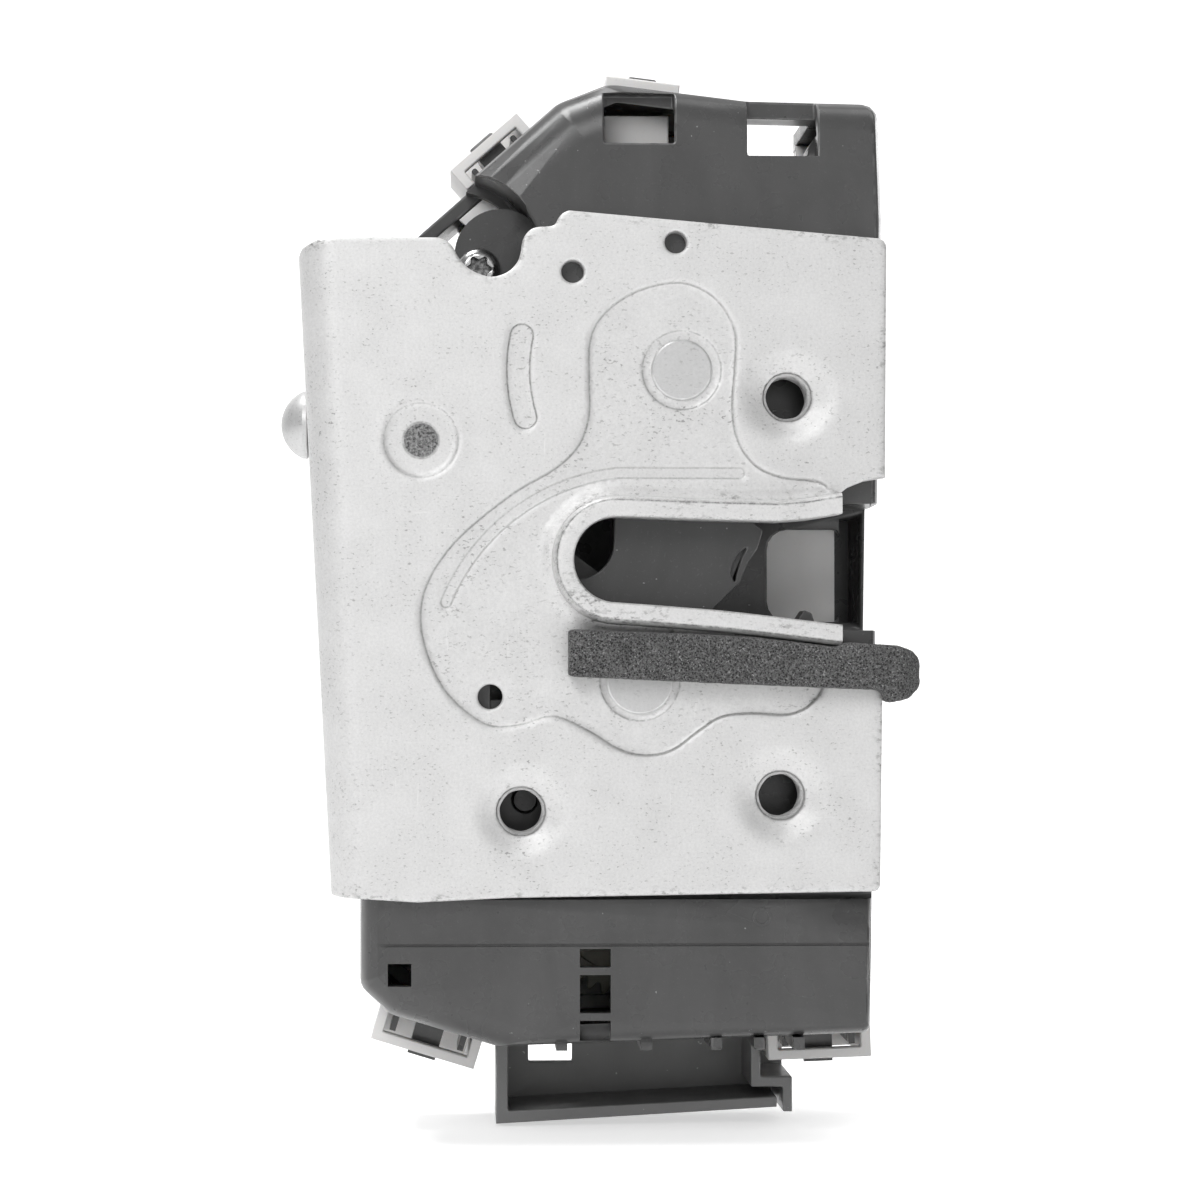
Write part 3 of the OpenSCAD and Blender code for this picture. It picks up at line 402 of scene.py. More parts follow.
def edge_wear(graph: Graph, most: float) -> Socket:
    """A factor on the rounded edges, up to a value, broken up by noise."""
    rubbed = graph.attribute("rubbed")
    patches = graph.ramp(graph.noise(1.6, 3.0), (0.35, 0.2 * most), (0.62, most))
    return graph.math("MULTIPLY", rubbed, patches)


@dataclass(frozen=True)
class SteelFinish:
    """Metal with a slow cloudy tint, fine grain, scratches, brighter worn edges and lines of painted shade
    kept on its mesh.

    Attributes:
        name: The material's name.
        colour: The metal's colour.
        shade: The darker colour of its clouds and stains.
        roughness: Its middle roughness.
        grain: Depth of the fine grain in millimetres.
        scratch: How much the scratches show, from 0 to 1.
        speckle: How much the small dark specks show, from 0 to 1.
        metallic: How metallic it is.
        mottle: How much of the shade its fine mottling shows, from 0 to 1.
    """

    name: str
    colour: Colour
    # shade: The darker colour of its clouds and stains, and, darkened further, of its painted shade lines.
    shade: Colour
    roughness: float = 0.35
    grain: float = 0.01
    scratch: float = 0.5
    speckle: float = 0.3
    metallic: float = 1.0
    mottle: float = 0.07

    def material(self) -> bpy.types.Material:
        """Builds the material."""
        g = Graph(self.name)
        clouds = g.ramp(g.noise(9.0, 5.0, 0.6), (0.35, 0.0), (0.7, 1.0))
        tint = g.mix(clouds, self.colour, between(self.colour, self.shade, 0.1))
        tint = g.mix(g.ramp(g.noise(0.45, 3.0, 0.7), (0.36, 0.0), (0.66, self.mottle)), tint, self.shade)
        clusters = g.ramp(g.noise(9.0, 3.0, 0.6), (0.38, 0.12), (0.62, 1.0))
        dashes = g.noise(0.42, 2.0, 0.6, g.stretch((0.55, 1.0, 1.0)))
        specks = g.math("MULTIPLY", clusters, g.ramp(dashes, (0.605, 0.0), (0.69, self.speckle)))
        tint = g.mix(specks, tint, self.shade)
        lines = g.noise(1.0, 2.0, 0.6, g.stretch((0.12, 1.0, 1.6), 24.0), 0.2)
        cross = g.noise(1.0, 2.0, 0.6, g.stretch((1.8, 1.0, 0.1), -12.0), 0.2)
        scratches = g.ramp(g.math("MAXIMUM", lines, cross), (0.7, 0.0), (0.75, self.scratch))
        tint = g.mix(scratches, tint, brighter(self.colour, 1.15))
        tint = g.mix(edge_wear(g, 1.0), tint, brighter(self.colour, 1.2))
        # painted shade: dark lines kept on the mesh at the feet of pressed steps, round rivet heads, along
        # the rim's corners and inside screw sockets
        broken = g.ramp(g.noise(0.9, 3.0, 0.65), (0.34, 0.35), (0.6, 1.0))
        tint = g.mix(g.math("MULTIPLY", g.attribute("painted_shade"), broken), tint, brighter(self.shade, 0.4))
        blots = g.ramp(g.noise(0.8, 3.0, 0.65, g.stretch((0.6, 1.0, 1.0))), (0.5, 0.0), (0.64, 0.8))
        stains = g.math("MULTIPLY", blots, g.ramp(g.noise(6.0, 3.0), (0.44, 0.0), (0.62, 1.0)))
        tint = g.mix(g.math("MULTIPLY", g.attribute("worn"), stains), tint, self.shade)
        rough = g.math("ADD", g.math("MULTIPLY", g.noise(3.0, 4.0, 0.6), 0.2), self.roughness - 0.1)
        normal = g.bump(g.noise(0.4, 3.0, 0.6), self.grain)
        normal = g.bump(scratches, 0.02, 0.5, normal)
        g.feed(Metallic=self.metallic, Base_Color=tint, Roughness=rough, Normal=normal)
        return g.material


@dataclass(frozen=True)
class PlasticFinish:
    """Moulded plastic with fine spark-eroded grain, slow flow marks and a little dust or scuffing.

    Attributes:
        name: The material's name.
        colour: The plastic's colour.
        scuff: The colour of scuffs and worn edges.
        roughness: Its middle roughness.
        grain: Depth of the grain in millimetres.
        grain_size: Size of the grain in millimetres.
        glow: Share of light that goes under the surface.
    """

    name: str
    colour: Colour
    scuff: Colour
    roughness: float = 0.42
    grain: float = 0.012
    grain_size: float = 0.3
    glow: float = 0.0

    def material(self) -> bpy.types.Material:
        """Builds the material."""
        g = Graph(self.name)
        flow = g.ramp(g.noise(9.0, 3.0, 0.55, g.stretch((1.0, 1.0, 0.35)), 0.6), (0.35, 0.0), (0.7, 1.0))
        tint = g.mix(flow, self.colour, between(self.colour, self.scuff, 0.14))
        haze = g.ramp(g.noise(0.55, 2.0, 0.7), (0.62, 0.0), (0.76, 0.3))
        tint = g.mix(haze, tint, self.scuff)
        dust = g.ramp(g.noise(0.8, 1.0, 0.4), (0.785, 0.0), (0.8, 0.5))
        tint = g.mix(dust, tint, brighter(self.scuff, 3.0, 0.8))
        tint = g.mix(edge_wear(g, 0.6), tint, self.scuff)
        rough = g.math("ADD", g.math("MULTIPLY", g.noise(5.0, 3.0), 0.2), self.roughness - 0.1)
        normal = g.bump(g.noise(self.grain_size, 2.0, 0.5), self.grain)
        normal = g.bump(g.noise(6.0, 2.0), 0.05, 0.6, normal)
        if self.glow:
            g.feed(Subsurface_Weight=self.glow, Subsurface_Radius=(1.0, 0.9, 0.8),
                   Subsurface_Scale=1.2 * MM)
        g.feed(Base_Color=tint, Roughness=rough, Normal=normal)
        return g.material


@dataclass(frozen=True)
class FoamFinish:
    """Open-cell foam: pits darkened with painted shade between pale cell walls, which carry painted glints,
    without gloss.

    Attributes:
        name: The material's name.
        colour: Colour of the cell walls.
        pit_shade_and_blotch: Painted shade in the pits, also the colour of the darker blotches.
        cell: Size of the cells in millimetres.
    """

    name: str
    colour: Colour
    pit_shade_and_blotch: Colour
    cell: float = 0.42

    def material(self) -> bpy.types.Material:
        """Builds the material."""
        g = Graph(self.name)
        holes = g.ramp(g.cells(self.cell), (0.15, 0.0), (0.55, 1.0))
        grain = g.noise(0.22, 3.0, 0.75)
        pores = g.math("MULTIPLY", holes, g.ramp(grain, (0.38, 0.1), (0.6, 1.0)))
        # painted shade in the open cells
        tint = g.mix(pores, self.pit_shade_and_blotch, self.colour)
        tint = g.mix(g.ramp(g.noise(7.0, 3.0), (0.4, 0.0), (0.75, 0.3)), tint, self.pit_shade_and_blotch)
        # painted glints on the cell walls
        painted_glint = g.ramp(g.noise(0.3, 1.0, 0.5), (0.66, 0.0), (0.72, 0.9))
        tint = g.mix(painted_glint, tint, grey(0.5))
        normal = g.bump(pores, 0.16)
        g.feed(Base_Color=tint, Roughness=0.95, Normal=normal, Specular_IOR_Level=0.2, Sheen_Weight=0.15,
               Sheen_Roughness=0.6)
        return g.material


class Finish(Enum):
    """Every finish on the lock."""

    ZINC = SteelFinish("zinc_plate", grey(0.73, 0.003), grey(0.16, 0.01), 0.5, 0.016, 0.3, 0.62, 0.45, 0.13)
    PIN = SteelFinish("steel_pin", grey(0.6), grey(0.22), 0.42, 0.008, 0.4, 0.5, 0.55, 0.12)
    DARK_PIN = SteelFinish("dark_rivet", grey(0.34), grey(0.02), 0.5, 0.1, 0.6, 0.8, 0.4, 0.95)
    PRESSED = SteelFinish("pressed_steel", grey(0.52, 0.02), grey(0.26, 0.02), 0.34, 0.01, 0.5, 0.3)
    SPRING = SteelFinish("spring_steel", grey(0.42), grey(0.18), 0.28, 0.004, 0.3, 0.2)
    FORGED = SteelFinish("forged_steel", grey(0.09), grey(0.04), 0.45, 0.03, 0.3, 0.5, 0.8)
    SCREW = SteelFinish("screw_steel", grey(0.5), grey(0.2), 0.26, 0.006, 0.4, 0.3)
    BRASS = SteelFinish("brass", (0.72, 0.52, 0.24), (0.4, 0.27, 0.11), 0.3, 0.005, 0.4, 0.2)
    TIN = SteelFinish("terminal_tin", grey(0.62), grey(0.34), 0.3, 0.004, 0.3, 0.2)
    BLACK = PlasticFinish("black_plastic", grey(0.056), grey(0.17), 0.29, 0.01, 0.28)
    # painted light: a paler copy of the black plastic that brightens the bracket, which sits in the block's
    # shade
    BLACK_PAINTED_LIGHT = PlasticFinish("black_plastic", grey(0.22), grey(0.3), 0.36, 0.01, 0.28)
    COVER = PlasticFinish("cover_plastic", grey(0.9, 0.01), grey(0.68, 0.02), 0.42, 0.008, 0.4, 0.15)
    JACKET = PlasticFinish("jacket_plastic", grey(0.045), grey(0.13), 0.42, 0.012, 0.25)
    GEAR = PlasticFinish("gear_plastic", (0.76, 0.73, 0.64), (0.5, 0.47, 0.4), 0.36, 0.006, 0.4, 0.1)
    CLIP = PlasticFinish("clip_plastic", (0.66, 0.56, 0.34), (0.4, 0.33, 0.2), 0.38, 0.006, 0.4, 0.08)
    FOAM = FoamFinish("foam", grey(0.27), grey(0.012))
    RUBBER = PlasticFinish("rubber", grey(0.02), grey(0.08), 0.6, 0.02, 0.35)


class Palette:
    """The finishes' materials, each made once."""

    def __init__(self) -> None:
        """Starts with none made."""
        self.made: dict[Finish, bpy.types.Material] = {}

    def get(self, finish: Finish) -> bpy.types.Material:
        """The finish's material."""
        if finish not in self.made:
            self.made[finish] = finish.value.material()
        return self.made[finish]

    def put(self, piece: bpy.types.Object, finish: Finish) -> None:
        """Gives a piece one finish."""
        piece.data.materials.clear()
        piece.data.materials.append(self.get(finish))


PALETTE = Palette()


# Meshes

def node_mesh(node: str) -> Mesh:
    """A CAD node's mesh in metres, its corners joined."""
    mesh = bmesh.new()
    mesh.from_mesh(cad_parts[node].data)
    bmesh.ops.remove_doubles(mesh, verts=mesh.verts, dist=WELD)
    return mesh


def add_object(name: str, data: bpy.types.ID) -> bpy.types.Object:
    """A new object in the scene."""
    added = bpy.data.objects.new(name, data)
    bpy.context.scene.collection.objects.link(added)
    return added


def aimed_object(name: str, data: bpy.types.ID, place: Vector, target: Vector) -> bpy.types.Object:
    """A new lamp or camera at a place, in metres, that points at a target."""
    added = add_object(name, data)
    added.location = place
    added.rotation_euler = (target - place).to_track_quat("-Z", "Y").to_euler()
    return added


def object_from(name: str, mesh: Mesh, crease: float = 40.0) -> bpy.types.Object:
    """A new object in the scene from a mesh in millimetres.

    Args:
        name: The piece's name.
        mesh: The mesh in millimetres, which is freed.
        crease: Angle in degrees above which an edge looks sharp.

    Returns:
        The object, with its mesh in metres.
    """
    bmesh.ops.scale(mesh, vec=(MM, MM, MM), verts=mesh.verts)
    data = bpy.data.meshes.new(name)
    mesh.to_mesh(data)
    mesh.free()
    data.shade_smooth()
    data.set_sharp_from_angle(angle=math.radians(crease))
    return add_object(name, data)


def sweep(mesh: Mesh, rings: list[list[Vector]], closed_ring: bool = True,
          closed_path: bool = False, caps: bool = False) -> list[list[bmesh.types.BMVert]]:
    """Joins rings of equally many points with quads.

    Args:
        mesh: The mesh that gets the faces.
        rings: The rings in order along the path.
        closed_ring: Whether each ring's last point joins its first.
        closed_path: Whether the last ring joins the first.
        caps: Whether the first and last ring are filled.

    Returns:
        The rows of new points.
    """
    rows = [[mesh.verts.new(p) for p in ring] for ring in rings]
    width = len(rings[0])
    for i in range(len(rows) if closed_path else len(rows) - 1):
        here, there = rows[i], rows[(i + 1) % len(rows)]
        for k in range(width if closed_ring else width - 1):
            j = (k + 1) % width
            mesh.faces.new((here[k], here[j], there[j], there[k]))
    if caps:
        mesh.faces.new(list(reversed(rows[0])))
        mesh.faces.new(rows[-1])
    return rows


def apply_modifiers(piece: bpy.types.Object) -> None:
    """Applies a piece's modifiers to its mesh."""
    graph = bpy.context.evaluated_depsgraph_get()
    data = bpy.data.meshes.new_from_object(piece.evaluated_get(graph))
    old = piece.data
    piece.modifiers.clear()
    piece.data = data
    data.name = piece.name
    bpy.data.meshes.remove(old)


def cut_box(piece: bpy.types.Object, box: Box) -> None:
    """Cuts a box, given in millimetres, out of a piece."""
    mesh = bmesh.new()
    size = [high - low for low, high in zip(*box)]
    middle = [(high + low) / 2 for low, high in zip(*box)]
    bmesh.ops.create_cube(mesh, size=1.0, matrix=Matrix.Translation(middle) @ Matrix.Diagonal((*size, 1.0)))
    cutter = object_from("cutter", mesh)
    cut = piece.modifiers.new("cut", "BOOLEAN")
    cut.object = cutter
    cut.solver = "EXACT"
    apply_modifiers(piece)
    bpy.data.objects.remove(cutter)


def folds(points: list[Vector], normal: Vector) -> list[Vector]:
    """Points at which a flat loop crosses itself.

    Args:
        points: The loop's points.
        normal: Its plane's normal.

    Returns:
        The ends of the edges that cross, or all points when none is found.
    """
    side = normal.orthogonal().normalized()
    up = normal.cross(side)
    flat = [Vector((p.dot(side), p.dot(up))) for p in points]
    count = len(flat)
    found: set[int] = set()
    for i in range(count):
        for j in range(i + 2, count):
            if (j + 1) % count == i:
                continue
            if intersect_line_line_2d(flat[i], flat[(i + 1) % count], flat[j], flat[(j + 1) % count]):
                found |= {i, (i + 1) % count, j, (j + 1) % count}
    return [points[i] for i in found or range(count)]


@dataclass
class EdgeRounding:
    """Rounds a piece's sharp edges as far as their surroundings leave room.

    Attributes:
        radius: Radius of the rounded edges in metres.
        crease: Angle in degrees above which an edge is rounded.
        tries: How often edges that come out folded are given a smaller radius.
        share: Share of the free width beside an edge that its rounding may take.
        straight: Angle in degrees above which the next edge only carries this one on.
        shortest: Length in metres under which an edge is taken out.
        spare: Share and area in square metres by which a sound face's triangles may exceed it.
        eased: Share of its radius that an edge keeps when faces beside it come out folded.
    """

    radius: float
    crease: float
    tries: int = 9
    share: float = 0.45
    straight: float = 150.0
    shortest: float = 1e-5
    spare: Point = (1.01, 4e-8)
    eased: float = 0.35

    def room(self, edge: bmesh.types.BMEdge, sharp: set[bmesh.types.BMEdge]) -> float:
        """The largest radius that an edge has room for, up to the wanted one.

        Args:
            edge: The edge.
            sharp: All edges that are to be rounded.

        Returns:
            The radius in metres.
        """
        most = self.radius
        for loop in edge.link_loops:
            after = loop.link_loop_next
            ends = ((loop.vert, loop.link_loop_prev.vert), (after.vert, after.link_loop_next.vert))
            for corner, past in ends:
                along = edge.other_vert(corner).co - corner.co
                aside = past.co - corner.co
                if min(along.length, aside.length) < 1e-9:
                    return 0.0
                turn = along.angle(aside)
                if turn < math.radians(self.straight):
                    most = min(most, self.share * aside.length * math.sin(turn))
        middle = (edge.verts[0].co + edge.verts[1].co) / 2
        for face in edge.link_faces:
            for other in face.edges:
                if other in sharp and not set(other.verts) & set(edge.verts):
                    start, end = (corner.co for corner in other.verts)
                    along = intersect_point_line(middle, start, end)[1]
                    nearest = start.lerp(end, min(max(along, 0.0), 1.0))
                    most = min(most, self.share * (nearest - middle).length)
        return most

    def weigh(self, mesh: Mesh) -> bmesh.types.BMLayerItem:
        """Gives every sharp edge the share of the radius that it has room for.

        Args:
            mesh: The mesh, of which flat faces that wind round an opening are split first.

        Returns:
            The layer that holds the shares.
        """
        bmesh.ops.dissolve_degenerate(mesh, edges=mesh.edges, dist=self.shortest)
        inner = [edge for edge in mesh.edges if len(edge.link_faces) == 2]
        level = {face for edge in inner if edge.calc_face_angle(1.0) < 0.01 for face in edge.link_faces}
        split = [face for face in mesh.faces if face in level and len(face.verts) > 4]
        bmesh.ops.connect_verts_concave(mesh, faces=split)
        mesh.normal_update()
        layer = mesh.edges.layers.float.new("bevel_weight_edge")
        limit = math.radians(self.crease)
        inner = [edge for edge in mesh.edges if len(edge.link_faces) == 2]
        sharp = {edge for edge in inner if edge.calc_face_angle(0.0) > limit}
        for edge in sharp:
            edge[layer] = self.room(edge, sharp) / self.radius
        return layer

    def faults(self, data: bpy.types.Mesh) -> list[Vector]:
        """Places at which a mesh's faces fold over themselves."""
        data.calc_loop_triangles()
        covered = [0.0] * len(data.polygons)
        for triangle in data.loop_triangles:
            covered[triangle.polygon_index] += triangle.area
        share, area = self.spare
        places: list[Vector] = []
        for face in data.polygons:
            if len(face.vertices) > 3 and covered[face.index] > share * face.area + area:
                places += folds([data.vertices[i].co.copy() for i in face.vertices], face.normal)
        return places

    def ease(self, mesh: Mesh, layer: bmesh.types.BMLayerItem, tree: KDTree,
             places: list[Vector], turn: int) -> None:
        """Gives the edges round some places a smaller radius.

        Args:
            mesh: The mesh before its edges are rounded.
            layer: The layer that holds the edges' shares.
            tree: The mesh's corners.
            places: Places at which faces came out folded.
            turn: Number of the try, from which it is decided how far the change reaches.
        """
        reach = (4.0 if turn > 2 else 1.6) * self.radius
        corners = {index for place in places for _, index, _ in tree.find_range(place, reach)}
        near = {edge for index in corners for edge in mesh.verts[index].link_edges}
        if turn > 1:
            near |= {other for edge in near for corner in edge.verts for other in corner.link_edges}
        for edge in near:
            edge[layer] = 0.0 if turn > 3 or edge[layer] < 0.05 else self.eased * edge[layer]

    def bevel(self, piece: bpy.types.Object, mesh: Mesh) -> None:
        """Gives a piece the mesh with its weighted edges rounded, their faces in material slot 1."""
        data = bpy.data.meshes.new(piece.name)
        mesh.to_mesh(data)
        old = piece.data
        piece.data = data
        bpy.data.meshes.remove(old)
        data.materials.append(None)
        data.materials.append(None)
        bevel = piece.modifiers.new("edges", "BEVEL")
        bevel.width = self.radius
        bevel.segments = 2
        bevel.limit_method = "WEIGHT"
        bevel.miter_outer = "MITER_ARC"
        bevel.use_clamp_overlap = False
        bevel.material = 1
        apply_modifiers(piece)

    def run(self, piece: bpy.types.Object) -> None:
        """Rounds a piece's edges, with less where faces would fold."""
        mesh = bmesh.new()
        mesh.from_mesh(piece.data)
        layer = self.weigh(mesh)
        mesh.verts.ensure_lookup_table()
        mesh.verts.index_update()
        tree = KDTree(len(mesh.verts))
        for corner in mesh.verts:
            tree.insert(corner.co, corner.index)
        tree.balance()
        for turn in range(self.tries):
            self.bevel(piece, mesh)
            places = self.faults(piece.data)
            if not places:
                break
            self.ease(mesh, layer, tree, places, turn)
        mesh.free()


@dataclass
class RoundedNode:
    """A CAD node's shape with its edges rounded as the real piece's are.

    Attributes:
        node: The CAD node that it stands for.
        body: The body that it rides on.
        finish: Its finish.
        radius: Radius of the rounded edges in millimetres.
        crease: Angle in degrees above which an edge is rounded.
        cuts: Boxes in millimetres that are cut out of it.
    """

    node: str
    body: str
    finish: Finish
    radius: float = 0.25
    crease: float = 32.0
    cuts: tuple[Box, ...] = ()

    def build(self) -> bpy.types.Object:
        """Builds the rounded piece in place of the node.

        Returns:
            The piece.
        """
        mesh = node_mesh(self.node)
        bmesh.ops.dissolve_limit(mesh, angle_limit=math.radians(FLAT), verts=mesh.verts, edges=mesh.edges)
        bmesh.ops.recalc_face_normals(mesh, faces=mesh.faces)
        bmesh.ops.scale(mesh, vec=(1 / MM,) * 3, verts=mesh.verts)
        piece = object_from(self.node + "_dressed", mesh, self.crease)
        for box in self.cuts:
            cut_box(piece, box)
        EdgeRounding(self.radius * MM, self.crease).run(piece)
        even = piece.modifiers.new("even", "WEIGHTED_NORMAL")
        even.keep_sharp = True
        even.weight = 100
        apply_modifiers(piece)
        rubbed = piece.data.attributes.new("rubbed", "FLOAT", "FACE")
        for face in piece.data.polygons:
            rubbed.data[face.index].value = float(face.material_index)
            face.material_index = 0
        return piece

    def dress(self) -> bpy.types.Object:
        """Builds the piece, gives it its finish and sets it on its body."""
        piece = self.build()
        PALETTE.put(piece, self.finish)
        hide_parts(self.node)
        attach(piece, self.body)
        LOG.info("%s: %d faces, %s", piece.name, len(piece.data.polygons), self.finish.value.name)
        return piece


@dataclass
class LatchPlate:
    """The pressed steel plate with its bent side, striker slot and threaded holes.

    Sizes are in millimetres and repeat the plate's own in the CAD source. These show only here:

    Attributes:
        spacing: Distance between the points of its surface.
        rim_profile: The rim's section, as distance from the slot's edge and depth.
        rim_shade: How much painted shade some of that section's points get, from 0 to 1.
        ring_groove: Radii between which the groove round a rivet falls and rises again, and its depth.
        lever_pan: Radii between which the pan round the lever's rivet rises, and its depth.
        lever_ridge: Radius of the ridge round that pan, half its crest, half its foot and its height.
        funnel: Radii between which the plate sinks towards a thread, and how far.
        edge_round: Width of its rounded edges.
        edge_drop: How far the surface drops there.
        scatter: How far the points of its surface are moved at random.
        blank: The flat blank's outline in short pieces.
        edge: Distance to it.
        openings: The round holes' outlines.
        hole_edges: Distance to each of them.
        struck: The struck areas, the recess first.
        slot: Distance to the slot's edge.
    """

    thickness: float = 3.0
    top: float = 52.1
    bottom: float = -54.2
    right: float = 43.8
    flange_x: float = -48.8
    flange_slant: float = 3.0
    flange_depth: float = 45.0
    bend: float = 6.0
    recess: float = 0.7
    slot_r: float = 6.9
    rim: float = 3.4
    rim_end: float = 36.3
    thread_r: float = 3.4
    collar_r: float = 5.2
    collar_depth: float = 9.0
    catch_at: Point = (3.9, -19.5)
    pawl_at: Point = (10.7, 30.8)
    lever_at: Point = (-31.5, 19.3)
    catch_r: float = 33.0
    groove_r: float = 26.5
    screws: tuple[Point, ...] = ((27.9, 26.5), (26.7, -38.1), (-15.3, -40.6))
    spacing: float = 0.9
    recess_points: tuple[Point, ...] = (
        (10.5, 45), (3.5, 43.6), (-1.8, 40), (-4.2, 35.6), (-4.4, 29), (-4.4, 23.5), (-6, 18.6),
        (-9.8, 14.8), (-15.8, 11.3), (-22, 6.6), (-26.8, 2), (-30.4, -3.6), (-31.6, -9), (-30.6, -15),
        (-28, -20.6), (-24.2, -24.6), (-20, -26.9), (-15, -26.6), (-10, -25.3), (-4.2, -27.8),
        (0, -30.4), (4.4, -31.6), (9, -30.8), (13.2, -27.8), (17, -25.4), (22, -24.8), (28, -25),
        (32, -23), (34, -19), (35, -8), (35, 6), (34, 12.2), (27, 13.4), (22.6, 15.4), (19.8, 19.4),
        (18.9, 25), (19.4, 32), (19.2, 37.6), (16, 42.6))
    screw_cut: tuple[Point, ...] = (
        (-13.2, 53.9), (-14.4, 53), (-15.2, 51.6), (-15.3, 50), (-15.9, 48), (-17.7, 46.3), (-20.4, 45.6),
        (-23.6, 46.8), (-25.5, 48.8), (-26.3, 50.6), (-27.4, 51.7), (-29, 52.1))
    rim_profile: tuple[Point, ...] = (
        (0.0, 2.6), (0.0, -3.75), (0.12, -3.95), (0.35, -4.0), (2.45, -4.0), (2.6, -3.97), (2.75, -3.9),
        (2.9, -3.8), (3.25, -3.4), (3.4, -2.9), (3.42, -0.4), (3.55, 0.1), (3.9, 0.45), (4.6, 0.62),
        (4.6, 1.4), (3.0, 2.6))
    rim_shade: tuple[tuple[int, float], ...] = ((2, 0.4), (5, 0.3), (6, 0.9), (7, 0.4))
    ring_groove: tuple[float, ...] = (4.8, 5.0, 6.2, 6.6, 0.25)
    lever_pan: tuple[float, ...] = (5.4, 6.3, 0.45)
    lever_ridge: tuple[float, ...] = (6.9, 0.2, 1.0, 0.08)
    funnel: tuple[float, ...] = (3.4, 9.2, 1.3)
    edge_round: float = 0.4
    edge_drop: float = 0.35
    scatter: float = 0.08
    blank: list[Point] = field(init=False)
    edge: Distance = field(init=False)
    openings: list[list[Point]] = field(init=False)
    hole_edges: list[Distance] = field(init=False)
    struck: list[Pressing] = field(init=False)
    slot: Distance = field(init=False)

    def __post_init__(self) -> None:
        """Prepares the outlines and the distances to them."""
        self.blank = resample(self.outline(), 0.8)
        self.edge = Distance(self.blank)
        self.openings = self.holes()
        self.hole_edges = [Distance(h) for h in self.openings]
        self.struck = self.pressings()
        self.slot = Distance(resample(self.slot_path(), 1.0, closed=False), closed=False, cell=8.0)

    def slot_path(self) -> list[Point]:
        """The slot's edge from the upper end of its mouth, round its closed end, to the lower one."""
        r = self.slot_r
        upper = [(self.rim_end, r + 0.5), (31, r - 0.4), (26, r - 0.8), (14, r - 0.5)]
        lower = [(7, -r - 0.5), (17, -r - 1.3), (25, -r - 2.2), (self.rim_end, -r - 3.6)]
        return upper + arc((0, 0), r, 90, 270, 24) + lower

    def outline(self) -> list[Point]:
        """The flat blank's outline, its flange rolled out to the left."""
        top, low, right, fx = self.top, self.bottom, self.right, self.flange_x
        mouth_top = self.slot_r + 0.5 + self.rim
        mouth_low = -self.slot_r - 3.6 - self.rim
        back = self.flat_x(-self.flange_depth + self.bend - self.bend_length())
        loop: list[Point] = [self.unroll(back, -51.6), self.unroll(back + 3, -52.6), (fx + 3, low - 0.1),
                             (-32, low - 1), (-17, low - 0.3)]
        loop += rounded_corner((0, low), (right - 1, low + 0.6), (right, -30), 1.2, 4)
        loop += [(right - 0.6, -24), (right - 0.4, mouth_low - 0.4), (self.rim_end + 1.4, mouth_low - 0.4),
                 (self.rim_end, mouth_low)]
        path = self.slot_path()
        loop += [(self.rim_end, path[-1][1])] + list(reversed(path[1:-1])) + [(self.rim_end, path[0][1])]
        loop += [(self.rim_end, mouth_top), (self.rim_end + 1.3, mouth_top + 1),
                 (self.rim_end + 4.1, mouth_top + 2.1), (right - 0.1, mouth_top + 2.6)]
        loop += rounded_corner((right, 20), (right + 0.2, top + 0.1), (-8, top + 4.6), 1.5, 4)
        shoulder = [(-7.6, top + 4.5), (-8.6, top + 4.1), (-9.3, top + 3.3), (-9.7, top + 2.4),
                    (-10.3, top + 1.9)]
        loop += eased(shoulder + list(self.screw_cut))
        loop += [(fx + 7, top), (fx + 3, top - 0.1), self.unroll(self.flat_x(-2), 54.2),
                 self.unroll(self.flat_x(-5), 53.2), self.unroll(self.flat_x(-8), 51.4),
                 self.unroll(back, 51.0)]
        return loop

    def pressings(self) -> list[Pressing]:
        """The recess round the mechanism, the groove over the pin and the line along the catch's rim."""
        line = arc(self.catch_at, self.catch_r + 0.8, 158, 96, 40)
        line.append((20, self.catch_at[1] + self.catch_r + 0.6))
        recess = resample(smooth_loop(list(self.recess_points), 4), 0.6)
        return [self.pressing(recess, self.recess, 0.5, 0.5),
                self.groove(arc(self.pawl_at, self.groove_r, 168, 197, 20), 1.9, 0.6, 0.7),
                self.groove(line, 0.9, 0.28, 0.3)]

    @staticmethod
    def pressing(loop: list[Point], depth: float, slope: float, painted_shade: float) -> Pressing:
        """A pressing whose outline is made to run anticlockwise."""
        area = sum(a[0] * b[1] - b[0] * a[1] for a, b in zip(loop, loop[1:] + loop[:1]))
        return Pressing(loop[::-1] if area < 0 else loop, depth, slope, painted_shade)

    def groove(self, path: list[Point], half: float, depth: float, painted_shade: float) -> Pressing:
        """A narrow round-ended pressing along a path."""
        return self.pressing(resample(band(path, half), 0.6), depth, 0.3, painted_shade)

    def rings(self) -> list[tuple[Point, float, float]]:
        """The circles struck round the rivets: centre, radius and how dark the painted shade line on each
        is.
        """
        return [(self.catch_at, 6.5, 0.45), (self.catch_at, 4.9, 0.6), (self.pawl_at, 6.4, 0.45),
                (self.pawl_at, 4.8, 0.7), (self.lever_at, 6.0, 0.3)]

    def holes(self) -> list[list[Point]]:
        """The holes through the plate, apart from the slot."""
        rounds = [((-7, 46.7), 1.85), ((9.7, 51.5), 1.8), ((-20.3, -22.1), 2.0)]
        rounds += [(p, self.thread_r + 0.5) for p in self.screws]
        return [arc(p, r, 0, 360, 32)[:-1] for p, r in rounds]

    def bend_length(self) -> float:
        """Length of the bend along the middle of the plate."""
        return (self.bend - self.thickness / 2) * math.pi / 2

    def flat_x(self, beyond: float) -> float:
        """A place across the strip, counted from where its bend starts."""
        return self.flange_x + self.bend + beyond

    def unroll(self, across: float, along: float) -> Point:
        """A strip's place turned by the flange's slant into X and Z."""
        s, c = math.sin(math.radians(self.flange_slant)), math.cos(math.radians(self.flange_slant))
        return (across * c - along * s, across * s + along * c)

